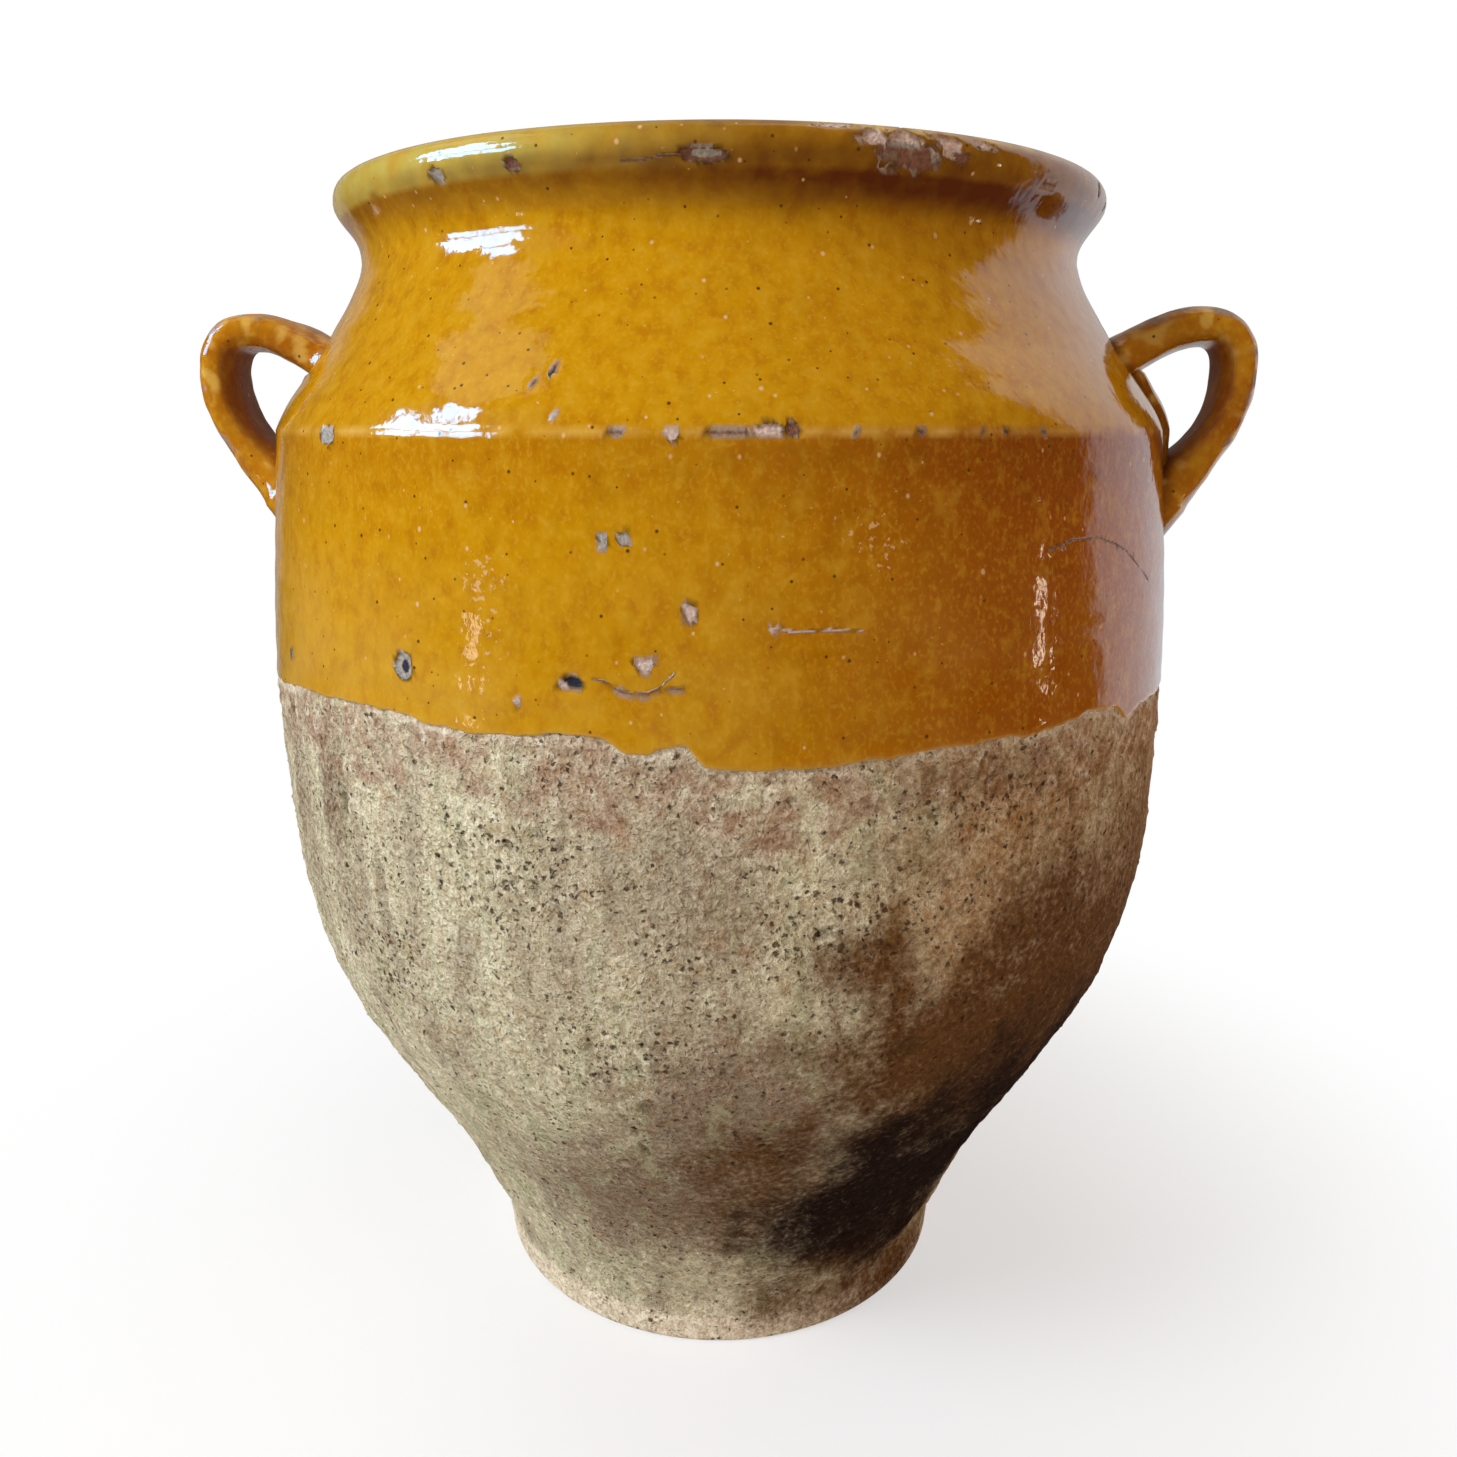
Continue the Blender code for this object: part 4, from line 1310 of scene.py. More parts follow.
    # The tan stains on the pot's right, and the soil and char stains low on its front right, are partly soil
    # and partly painted shade. They darken and brown the side turned from the key light and the lower belly.
    stains: tuple[Stain, ...] = (
        Stain(DAMP, 0, 158, 7, 32, 0.62), Stain(DAMP, -34, 164, 4, 30, 0.40),
        Stain(DAMP, -46, 158, 5, 46, 0.55), Stain(DAMP, 3, 100, 20, 34, 0.92),
        Stain(DAMP, -12, 60, 28, 34, 0.88), Stain(TAN, 66, 110, 44, 160, 0.60),
        Stain(TAN, 28, 158, 18, 50, 0.45), Stain(TAN, -60, 150, 14, 80, 0.12),
        Stain(SOIL, 14, 144, 9, 14, 0.66), Stain(SOIL, 34, 150, 8, 18, 0.50),
        Stain(SOIL, 54, 126, 24, 64, 0.70), Stain(SOIL, 38, 138, 12, 28, 0.66),
        Stain(SOIL, 26, 114, 20, 26, 0.95), Stain(SOIL, 10, 66, 24, 28, 0.65),
        Stain(SOIL, 4, 88, 14, 16, 0.55), Stain(SOIL, 48, 7, 30, 16, 0.76), Stain(SOIL, 54, 88, 22, 46, 0.80),
        Stain(SOIL, 36, 92, 17, 26, 0.85), Stain(SOIL, 28, 29, 26, 18, 0.80),
        Stain(SOIL, 14, 12, 14, 12, 0.55), Stain(SOIL, 18, 168, 9, 12, 0.36),
        Stain(SOIL, -47, 170, 5, 18, 0.45), Stain(SOIL, -58, 150, 6, 50, 0.40),
        Stain(SOIL, 26, 184, 14, 8, 0.42), Stain(SOIL, 150, 110, 30, 50, 0.70),
        Stain(SOIL, -125, 60, 26, 40, 0.65), Stain(CHAR, 26, 58, 17, 26, 0.95),
        Stain(CHAR, 42, 58, 22, 40, 0.88), Stain(CHAR, 16, 50, 15, 28, 0.62),
        Stain(CHAR, 20, 84, 16, 16, 0.50), Stain(CHAR, 36, 33, 26, 20, 0.62),
        Stain(CHAR, 62, 84, 26, 50, 0.56), Stain(CHAR, 35, 98, 16, 26, 0.50),
        Stain(CHAR, 168, 66, 24, 40, 0.60),
    )

    def dress(self, wheel: WheelTree, scatter: ScatterTree) -> None:
        """Build the clay, the coat, the lining and the grains on them."""
        bare = BareEarthenware().build()
        ochre = OchreGlaze().build()
        clay = self.clay(wheel, bare)
        coat = self.coat(wheel, ochre)
        lining = self.lining(wheel, LiningGlaze().build())
        grit = grow(
            "clay_grit",
            scatter.tree,
            {
                "Host": clay,
                "Density": 62000.0,
                "Smallest": 0.35 * MM,
                "Largest": 1.15 * MM,
                "Flatness": 0.6,
                "Where": "gritty",
                "Seed": 11,
                "Material": bare,
            },
        )
        finish_piece(clay, "bare_earthenware", ["clay_vessel"])
        finish_piece(grit, "bare_earthenware")
        finish_piece(coat, "ochre_glaze", ["glaze_outside"])
        finish_piece(lining, "lining_glaze", ["glaze_inside"])

    def turned(
        self, name: str, wheel: WheelTree, points: np.ndarray, exposed: np.ndarray, **inputs: object
    ) -> bpy.types.Object:
        """Turn one profile on the wheel.

        Args:
            name: the piece's name.
            wheel: the tree that turns it.
            points: rows of radius and height.
            exposed: share of the rings and wobble that each row takes.
            inputs: further inputs of the tree, by name with underscores for spaces.

        Returns:
            The turned piece.
        """
        rows = np.stack((points[:, 0], np.zeros(len(points)), points[:, 1]), axis=1)
        profile = guide(f"{name}_profile", rows, {"exposed": exposed})
        named = {label.replace("_", " "): value for label, value in inputs.items()}
        piece = grow(name, wheel.tree, {"Profile": profile, **named})
        drop(profile)
        log.info("%s turned, %.1f cubic centimetres", name, face_outwards(piece.data) * CUBIC_CENTIMETRES)
        return piece

    def settle(self, skin: Skin) -> None:
        """Give a turned surface the pot's own faults, the dip line, bulge and warp, and write it."""
        skin.locate()
        height = skin.height + self.dip.lift(skin.angle, skin.height)
        on_wall = (skin.height < self.profile.neck) & (skin.height > 20 * MM)
        radius = skin.radius.copy()
        radius[on_wall] += self.profile.radius(height[on_wall]) - self.profile.radius(skin.height[on_wall])
        bulge = np.exp(-(((skin.height - self.bulge_height) / self.bulge_tall) ** 2))
        turned = skin.angle - math.radians(self.bulge_angle)
        side = np.exp(-((turned / math.radians(self.bulge_wide)) ** 2))
        radius += self.side_bulge * bulge * side * (skin.radius > self.bulge_least_radius)
        lift = ease(skin.height, *self.rim_warp_heights) * (1 - np.cos(2 * skin.angle)) / 2
        height = height + self.rim_warp * lift * (1 - 0.15 * np.sin(skin.angle))
        skin.place(radius, height)
        skin.write()

    def press(self, skin: Skin, marks: Sequence[Mark], lines: Sequence[Line], profile: np.ndarray) -> None:
        """Press marks and lines into a skin and note what they show.

        Args:
            skin: the points.
            marks: chips, pits and dents.
            lines: cracks and scratches.
            profile: rows of radius and height of the skin's outside.
        """
        depth = np.zeros(len(skin.co))
        for mark in marks:
            distance = mark_distance(mark, skin, profile)
            mask = 1 - ease(distance, 0.82, 1.04)
            depth = np.maximum(depth, mask * mark.depth * MM)
            outlined = 0.85 if mark.ragged < 0.4 else 0.30
            skin.blend_in("edge", (1 - ease(distance, 1.05, 1.30)) * outlined)
            skin.blend_in("tone", 1 - ease(distance, 1.10, 1.25), mark.wound.value)
            skin.blend_in("chip", mask)
        for line in lines:
            gap = line_distance(line, skin) + rough_field(skin.co, 1.6 * MM, line.depth) * 0.25 * MM
            mask = 1 - ease(gap, line.width * MM * 0.3, line.width * MM * 0.75)
            mask = mask * (skin.exposed > 0.5)
            depth = np.maximum(depth, mask * line.depth * MM)
            skin.blend_in("edge", (1 - ease(gap, line.width * MM * 0.6, line.width * MM * 1.6)) * 0.5)
            skin.blend_in("tone", (gap < line.width * MM).astype(float), line.wound.value)
            skin.blend_in("chip", mask)
        skin.push(-depth * skin.exposed)

    def near_marks(
        self, mesh: bpy.types.Mesh, marks: Sequence[Mark], lines: Sequence[Line], profile: np.ndarray
    ) -> np.ndarray:
        """Find the points that marks and lines reach.

        Args:
            mesh: the mesh to search.
            marks: chips, pits and dents.
            lines: cracks and scratches.
            profile: rows of radius and height of the mesh's outside.

        Returns:
            One truth value for each point.
        """
        skin = Skin(mesh)
        wanted = np.zeros(len(skin.co), dtype=bool)
        for mark in marks:
            wanted |= mark_distance(mark, skin, profile) < 1.45
        for line in lines:
            wanted |= line_distance(line, skin) < 1.6 * MM
        return wanted & (skin.exposed > 0.5)

    def coat(self, wheel: WheelTree, material: bpy.types.Material) -> bpy.types.Object:
        """Build the outside glaze, from the dip line over the rim to the lip."""
        profile = self.profile
        bead = np.array(self.bead) * MM
        top = self.dip.mean + bead[-1, 0] + 1.4 * MM
        outside = profile.outside(top, 1.6 * MM)
        bead_heights = self.dip.mean + bead[:, 0]
        edge = np.stack((profile.radius(bead_heights) + bead[:, 1], bead_heights), axis=1)
        outer = np.concatenate((edge, outside))
        inner = sunk(profile.outside(self.dip.mean + 0.3 * MM, 3.6 * MM), self.coat_thickness)[::-1]
        points = np.concatenate((outer, inner, outer[:1]))
        exposed = np.concatenate((np.ones(len(outer)), np.zeros(len(inner)), [1.0]))
        piece = self.turned(
            "glaze_coat",
            wheel,
            points,
            exposed,
            Columns=600,
            Ring_Pitch=9 * MM,
            Ring_Depth=0.05 * MM,
            Wobble=0.42 * MM,
            Wobble_Width=24 * MM,
            Seed=2.0,
            Material=material,
        )
        for _ in range(2):
            refine(piece.data, self.near_marks(piece.data, self.glaze_marks, self.glaze_lines, outer))
        skin = Skin(piece.data)
        self.stain_glaze(skin)
        self.press(skin, self.glaze_marks, self.glaze_lines, outer)
        self.settle(skin)
        return piece

    def stain_glaze(self, skin: Skin) -> None:
        """Note where the glaze pools brown, turns olive on the rim, thins or wears, and where painted shade,
        painted highlights, painted light and painted glints lie on it.
        """
        degrees, height = np.degrees(skin.angle), skin.height / MM
        clouds = rough_field(skin.co, 14 * MM, 5.3)
        patches = rough_field(skin.co, 5 * MM, 1.9)
        face_edge = 309.3 + 0.8 * patches
        # The brown where the glaze gathers under the rim is also painted shade. It is heaviest in the hollow
        # and in the crease under the rim's face, and on the right, which is turned from the key light.
        right = ease(degrees, -22, 30) * (1 - ease(degrees, 110, 170))
        below_face = 1 - ease(height, face_edge, face_edge + 1.2)
        hollow = ease(height, 299.0 + 2 * clouds, 307.5)
        skin.blend_in("pool", hollow * below_face * (0.30 + 0.70 * right))
        crease = ease(height, face_edge - 3.2, face_edge - 0.6) * below_face
        face_low = (1 - below_face) * (1 - ease(height, 311.0, 315.6))
        skin.blend_in("pool", crease * (0.30 + 0.60 * right))
        low_face = face_low * np.clip(0.60 + 0.6 * patches + 0.3 * clouds, 0, 1)
        skin.blend_in("pool", low_face * ease(degrees, -58, -26), 0.74)
        face = ease(height, face_edge, face_edge + 1.2)
        left = 1 - ease(degrees, -24 + 9 * clouds, 2 + 9 * clouds)
        drawn = rough_field(skin.co * np.array((1.0, 1.0, 0.2)), 2.6 * MM, 3.7)
        limb = 1 - ease(degrees, -76, -58)
        olive = np.clip(0.8 + 0.5 * patches - limb * (0.25 + 1.1 * drawn), 0, 1)
        skin.blend_in("olive", face * (0.12 + 0.83 * left) * olive)
        # Painted shade on the rim's face as well: its right part is browned along with the pooled glaze.
        face_right = ease(degrees, -26, 8) * (1 - ease(degrees, 110, 170))
        skin.blend_in("pool", face * face_right * (0.75 + 0.25 * patches), 0.80)
        # Painted shade: the wall darkens and reddens towards the right, which is turned from the key light,
        # and far less on the shoulder.
        wall = ease(degrees, -12, 34) * (1 - ease(degrees, 120, 175))
        skin.blend_in("shade", wall * (0.95 - 0.87 * ease(height, 256.8, 259.0)))
        # Painted shade under the ridge: a band of wall just below it is darkened, and browned on the right.
        below_ridge = ease(height, 232, 255) * (1 - ease(height, 256.6, 257.4))
        skin.blend_in("shade", below_ridge * 0.30)
        skin.blend_in("pool", below_ridge * right * 0.30)
        # A pale line along the ridge: the glaze runs thin on the edge, with a painted highlight.
        skin.blend_in("thin", np.exp(-(((height - 257.1) / 0.45) ** 2)) * np.clip(0.35 + 0.7 * patches, 0, 1))
        # Painted light: the lower wall is lightened, most on the left, which faces the key light.
        key_lit_lower_left = ease(height, 236, 202) * (1 - ease(degrees, -58, -14))
        key_lit_lower_left = key_lit_lower_left * ease(degrees, -120, -75)
        skin.blend_in("thin", key_lit_lower_left * np.clip(0.28 + 0.20 * clouds, 0, 1))
        skin.blend_in("thin", ease(height, 238, 206) * np.clip(0.05 + 0.10 * clouds, 0, 1))
        worn_top = ease(height, 316.4, 318.6) * ease(degrees, 4, 18)
        worn_top = worn_top * (1 - ease(degrees, 60, 100))
        skin.blend_in("thin", worn_top * np.clip(0.5 + 0.8 * patches, 0, 1))
        # Painted glints: pale specks, gathered in a streak left of the front and a patch right of it, and
        # spread thinly wherever the clouds run high.
        sparkle = np.exp(-(((degrees + 22.5) / 2.6) ** 2) - ((height - 222) / 15) ** 2)
        glints_right_of_front = np.exp(-(((degrees - 14) / 3.5) ** 2) - ((height - 236) / 8) ** 2)
        skin.values["worn"] = np.clip(sparkle + 0.8 * glints_right_of_front + 0.30 * ease(clouds, 0.1, 0.6), 0, 1)
        near_line = height - self.dip.mean / MM
        skin.blend_in("thin", (1 - ease(near_line, 0.0, 1.2)) * 0.5)

    def clay(self, wheel: WheelTree, material: bpy.types.Material) -> bpy.types.Object:
        """Build the clay body, bare from the base to the dip line, hidden above it."""
        profile = self.profile
        edge_turns = np.linspace(0.0, math.pi / 2, 5)
        edge_centre = profile.foot_radius - profile.foot_edge
        foot = np.stack(
            (
                edge_centre + profile.foot_edge * np.sin(edge_turns),
                profile.foot_edge * (1 - np.cos(edge_turns)),
            ),
            axis=1,
        )
        base = np.stack((np.linspace(0.0, edge_centre, 12)[:-1], np.zeros(11)), axis=1)
        under_edge = self.dip.mean + 0.8 * MM
        heights = np.append(even(profile.foot_edge + 1.0 * MM, under_edge, 1.62 * MM), under_edge)
        bare = np.stack((profile.radius(heights) - self.coat_proud, heights), axis=1)
        hidden = sunk(profile.outside(under_edge + 1.4 * MM, 3.6 * MM), self.coat_thickness + self.clay_gap)
        inside = sunk(profile.inside(16 * MM), 1.0 * MM)
        points = np.concatenate((base, foot, bare, hidden, inside))
        seen = len(base) + len(foot) + len(bare)
        exposed = np.zeros(len(points))
        exposed[len(base) + len(foot) : seen] = 1.0
        outer = np.concatenate((foot, bare))
        piece = self.turned(
            "vessel_clay",
            wheel,
            points,
            exposed,
            Columns=488,
            Ring_Pitch=4.6 * MM,
            Ring_Depth=0.10 * MM,
            Wobble=1.1 * MM,
            Wobble_Width=30 * MM,
            Seed=5.0,
            Material=material,
        )
        marks = (*self.clay_marks, *self.pit_marks())
        refine(piece.data, self.near_marks(piece.data, marks, (), outer))
        skin = Skin(piece.data)
        relief = (rough_field(skin.co, 8 * MM, 1.3) + rough_field(skin.co, 3.2 * MM, 4.9)) * self.clay_relief
        self.stain_clay(skin)
        skin.push(relief * (1 + 0.9 * skin.values["pink"]) * skin.exposed)
        self.press(skin, marks, (), outer)
        self.settle(skin)
        return piece

    def stain_clay(self, skin: Skin) -> None:
        """Note where the clay is soiled, charred, pinkish, pale or gritty; the stains on the right also hold
        painted shade.
        """
        degrees, height = np.degrees(skin.angle), skin.height / MM
        line = self.dip.mean / MM
        clouds = rough_field(skin.co, 17 * MM, 2.2)
        patches = rough_field(skin.co, 6 * MM, 8.4)
        drawn = skin.co * np.array((1.0, 1.0, 0.16))
        drips = rough_field(drawn, 5.5 * MM, 6.1)
        for stain in self.stains:
            away = (degrees - stain.angle + 180) % 360 - 180
            reach = np.hypot(away / stain.wide, (height - stain.height) / stain.tall)
            reach = reach * (1 + 0.30 * clouds + 0.14 * patches + 0.16 * drips)
            skin.blend_in(stain.kind.value, (1 - ease(reach, 0.10, 1.35)) * stain.share)
        drip = ease(drips, 0.0, 0.6) * (1 - ease(height, 70, 130))
        skin.blend_in("soil", drip * 0.22)
        ragged = line - 17 + 7 * clouds + 3 * patches
        skin.blend_in("pink", ease(height, ragged - 2, ragged + 3) * np.clip(0.50 + 0.70 * patches, 0, 1))
        thin = 1.5 + 1.2 * patches
        slip = ease(height, line - thin - 0.5, line - thin + 0.5)
        skin.blend_in("slip", slip * np.clip(0.75 + clouds, 0.15, 1.0))
        scales = rough_field(skin.co, 3.2 * MM, 4.9)
        crevice = ease(-scales, 0.05, 0.5)
        skin.blend_in("soil", crevice * skin.values["pink"] * 0.55)
        flakes = ease(scales, 0.08, 0.36)
        skin.blend_in("slip", flakes * skin.values["pink"] * 0.75)
        pitted = np.zeros(len(degrees))
        for angle, level, wide, tall in self.nests:
            reach = np.hypot((degrees - angle) / wide, (height - level) / tall) * (1 + 0.4 * patches)
            pitted = np.maximum(pitted, 1 - ease(reach, 0.3, 1.2))
        skin.values["pitted"] = pitted
        gritty = 0.35 + 0.65 * ease(clouds, -0.2, 0.45)
        skin.values["gritty"] = gritty * skin.exposed * (1 - ease(height, line - 5, line - 3))

    def pit_marks(self) -> list[Mark]:
        """Scatter open pits over the bare clay, most of them in clusters."""
        dice = np.random.default_rng(PIT_SEED)
        nests = [(dice.uniform(-180, 180), dice.uniform(40, 180)) for _ in range(14)]
        nests += [nest[:2] for nest in self.nests]
        marks = []
        for i in range(self.pit_count):
            angle, height = dice.uniform(-180, 180), dice.uniform(14, 186)
            if i % 3:
                nest = nests[i % len(nests)]
                angle, height = nest[0] + dice.normal(0, 6), nest[1] + dice.normal(0, 11)
            if 10 < height < 186:
                width = 0.9 + dice.gamma(2.0, 0.35)
                tall = width * dice.uniform(0.7, 1.5)
                marks.append(Mark(angle, height, width, tall, 0.25 + 0.2 * width, ragged=0.35))
        return marks

    def lining(self, wheel: WheelTree, material: bpy.types.Material) -> bpy.types.Object:
        """Build the lining glaze, from the lip to the floor."""
        shown = self.profile.inside(2.6 * MM)
        backing = sunk(self.profile.inside(16 * MM), 0.7 * MM)[::-1]
        points = np.concatenate((shown, backing, shown[:1]))
        exposed = np.concatenate((np.ones(len(shown)), np.zeros(len(backing)), [1.0]))
        fade = ease(points[:, 0], 3 * MM, 12 * MM)
        return self.turned(
            "glaze_lining",
            wheel,
            points,
            exposed * fade,
            Columns=360,
            Ring_Pitch=7 * MM,
            Ring_Depth=0.30 * MM,
            Wobble=0.4 * MM,
            Wobble_Width=30 * MM,
            Seed=8.0,
            Material=material,
        )


class Side(Enum):
    """Which handle: its side of the pot."""

    LEFT = -1
    RIGHT = 1


@dataclass(frozen=True)
class StrapHandle:
    """A pulled strap luted across the ridge, and the wad of clay under it."""

    side: Side
    turn: float
    reach: float
    seed: float
    profile: ThrownProfile = ThrownProfile()
    tip_rise: float = 14.9 * MM
    root_rise: float = 19.0 * MM
    tail_drop: float = 18.0 * MM
    leaves_at: float = 34.0
    arrives_at: float = 36.0
    lift: float = 19.5 * MM
    tip_upper_pull: float = 17.0 * MM
    tip_lower_pull: float = 14.5 * MM
    tail_pull: float = 12.0 * MM
    root_embed: float = 7.0 * MM
    tail_embed: float = 10.0 * MM
    strap: tuple[float, float] = (25.0 * MM, 10.2 * MM)
    root: tuple[float, float] = (27.0 * MM, 11.6 * MM)
    tail: tuple[float, float] = (28.5 * MM, 14.0 * MM)
    flare_share: float = 0.30
    fullness: float = 2.8
    steps: int = 46
    sides: int = 56
    luting_reach: float = 2.6 * MM
    luting_spread: float = 6.0 * MM
    luting_swell: float = 0.8 * MM
    wad_width: float = 21.0 * MM
    wad_top: float = 4.6 * MM
    wad_bottom: float = 2.8 * MM
    wad_rise: float = 17.5 * MM
    wad_drop: float = 14.0 * MM
    wad_embed: float = 1.1 * MM
    wad_steps: int = 40
    wad_taper_steps: int = 6
    wad_fullness: float = 2.6

    def outside(self, height: float) -> float:
        """Radius of the pot at a height."""
        return float(self.profile.radius(np.array([height]))[0])

    def dress(
        self, sweep: SweepTree, strap_finish: bpy.types.Material, wad_finish: bpy.types.Material
    ) -> None:
        """Build the strap and its wad."""
        label = self.side.name.lower()
        strap = self.build_strap(f"strap_{label}", sweep, strap_finish)
        wad = self.build_wad(f"wad_{label}", sweep, wad_finish)
        finish_piece(strap, "glazed_strap_clay", [f"handle_{label}"])
        finish_piece(wad, "glazed_luting_clay", [f"luting_wad_{label}"])

    def world(self, radius: np.ndarray, across: np.ndarray, height: np.ndarray) -> np.ndarray:
        """World places of points in the handle's plane, turned towards the front."""
        turn = math.radians(self.turn)
        x = radius * math.cos(turn) + across * math.sin(turn)
        y = -radius * math.sin(turn) + across * math.cos(turn)
        return np.stack((self.side.value * x, y, height), axis=1)

    def centre_line(self) -> np.ndarray:
        """Points of the strap's centre line, as radius and height, out of and into the clay."""
        ridge = self.profile.ridge
        root = np.array((self.outside(ridge + self.root_rise), ridge + self.root_rise))
        leaving = np.array((math.cos(math.radians(self.leaves_at)), math.sin(math.radians(self.leaves_at))))
        tip = np.array((self.outside(ridge) + self.reach, ridge + self.tip_rise))
        tail = np.array((self.outside(ridge - self.tail_drop), ridge - self.tail_drop))
        down = math.radians(self.arrives_at)
        arriving = np.array((-math.sin(down), -math.cos(down)))
        upper = (root, root + leaving * self.lift, tip + (0, self.tip_upper_pull), tip)
        lower = (tip, tip - (0, self.tip_lower_pull), tail - arriving * self.tail_pull, tail)
        share = np.linspace(0.0, 1.0, self.steps)[:, None]
        bows = []
        for a, b, c, d in (upper, lower):
            rest = 1 - share
            bows.append(a * rest**3 + b * 3 * rest**2 * share + c * 3 * rest * share**2 + d * share**3)
        start, end = root - leaving * self.root_embed, tail + arriving * self.tail_embed
        return np.concatenate(([start], bows[0][:-1], bows[1], [end]))

    def build_strap(self, name: str, sweep: SweepTree, material: bpy.types.Material) -> bpy.types.Object:
        """Sweep the strap, then work its surface by hand."""
        line = self.centre_line()
        along = np.linspace(0.0, 1.0, len(line))
        rooted = 1 - ease(along, 0.0, self.flare_share)
        tailed = ease(along, 1 - self.flare_share, 1.0)
        width, thickness = (
            self.strap[i] + (self.root[i] - self.strap[i]) * rooted + (self.tail[i] - self.strap[i]) * tailed
            for i in (0, 1)
        )
        wall = np.array([self.outside(min(z, self.profile.neck)) for z in line[:, 1]])
        clear = line[:, 0] - wall
        luted = np.exp(-np.maximum(clear, 0.0) / self.luting_reach)
        width = width + luted * self.luting_spread
        thickness = thickness + luted * self.luting_swell
        return self.swept(name, sweep, material, line, width, thickness, self.sides, self.fullness)

    def build_wad(self, name: str, sweep: SweepTree, material: bpy.types.Material) -> bpy.types.Object:
        """Sweep the smeared wad down the wall, over the ridge."""
        ridge = self.profile.ridge
        count = self.wad_steps
        heights = np.linspace(ridge + self.wad_rise, ridge - self.wad_drop, count)
        share = ease(heights, ridge - self.wad_drop, ridge + self.wad_rise)
        thickness = self.wad_bottom + (self.wad_top - self.wad_bottom) * share
        radii = self.profile.radius(heights) - self.wad_embed
        line = np.stack((radii, heights), axis=1)
        ends = np.minimum(np.arange(count), np.arange(count)[::-1]) / self.wad_taper_steps
        taper = np.sqrt(np.clip(ends, 0.02, 1.0))
        width = np.full(count, self.wad_width) * (0.8 + 0.2 * taper)
        return self.swept(name, sweep, material, line, width, thickness * 2 * taper, count, self.wad_fullness)

    def swept(
        self, name: str, sweep: SweepTree, material: bpy.types.Material, line: np.ndarray, width: np.ndarray,
        thickness: np.ndarray, sides: int, fullness: float
    ) -> bpy.types.Object:
        """Sweep a rounded section along a line in the handle's plane.

        Args:
            name: the piece's name.
            sweep: the tree that sweeps it.
            material: its finish.
            line: rows of radius and height.
            width: full width at each row.
            thickness: full thickness at each row.
            sides: points round the section.
            fullness: 2 for an ellipse, more for a flatter strap.

        Returns:
            The swept piece.
        """
        count, off = len(line), -outward(line)
        none = np.zeros(count)
        points = self.world(line[:, 0], none, line[:, 1])
        out = self.world(off[:, 0], none, off[:, 1])
        side = self.world(none, np.ones(count), none)
        points = np.concatenate((points[:1], points, points[-1:]))
        across = np.concatenate(([none[:3]], side * width[:, None] / 2, [none[:3]]))
        reach = np.concatenate(([none[:3]], out * thickness[:, None] / 2, [none[:3]]))
        spine = guide(f"{name}_spine", points, {"across": across, "off": reach})
        inputs = {"Spine": spine, "Sides": sides, "Fullness": fullness, "Material": material}
        piece = grow(name, sweep.tree, inputs)
        drop(spine)
        log.info("%s swept, %.2f cubic centimetres", name, face_outwards(piece.data) * CUBIC_CENTIMETRES)
        self.work(piece.data)
        return piece

    def work(self, mesh: bpy.types.Mesh) -> None:
        """Leave the pulled strap uneven, and note where it is rubbed, where it is browned by pooled glaze and
        painted shade, and where it carries painted highlights.
        """
        co, normal = read_points(mesh)
        lumps = rough_field(co, 9 * MM, self.seed) * 0.5 * MM
        lumps = lumps + rough_field(co, 3.5 * MM, self.seed) * 0.14 * MM
        co = co + normal * lumps[:, None]
        radius = np.hypot(co[:, 0], co[:, 1])
        wall = self.profile.radius(np.minimum(co[:, 2], self.profile.neck))
        out = radius - wall
        outer = normal[:, 0] * self.side.value
        inner = 1 - ease(outer, -0.85, -0.25)
        rubbed = np.maximum(ease(outer, 0.15, 0.75), ease(normal[:, 2], 0.45, 0.9))
        worn = ease(rough_field(co, 4.5 * MM, self.seed + 3), 0.00, 0.30)
        worn = worn * ease(out, 8 * MM, 17 * MM) * rubbed
        mesh.vertices.foreach_set("co", co.astype(np.float32).ravel())
        corner = 1 - ease(out, 0.3 * MM, 3.5 * MM)
        clouds = ease(rough_field(co, 12 * MM, self.seed + 1), 0.0, 0.5)
        # The shade value is the strap's own browner tone in clouds, plus painted shade on the face towards
        # the pot. The corners against the pot are browned as pooled glaze and painted shade, and the pale
        # patches on the outer faces are painted highlights.
        for label, value in (
            ("pool", corner * 0.6 + 0.55 * inner),
            ("shade", 0.35 + 0.4 * clouds + 0.4 * inner),
            ("thin", 0.6 * ease(rough_field(co, 5 * MM, self.seed + 5), 0.18, 0.42) * (1 - inner)),
            ("dull", inner),
            ("chip", worn * 0.8),
            ("tone", np.full(len(co), 0.45)),
            ("edge", worn * 0.3),
        ):
            store(mesh, label, value)
        mesh.update()


# The studio


@dataclass(frozen=True)
class Lamp:
    """An area lamp: where it stands round the pot, its size and power, and what sees it."""

    name: str
    azimuth: float
    elevation: float
    distance: float
    width: float
    height: float
    power: float
    colour: str = "#ffffff"
    lights: bool = True
    mirrored: bool = True


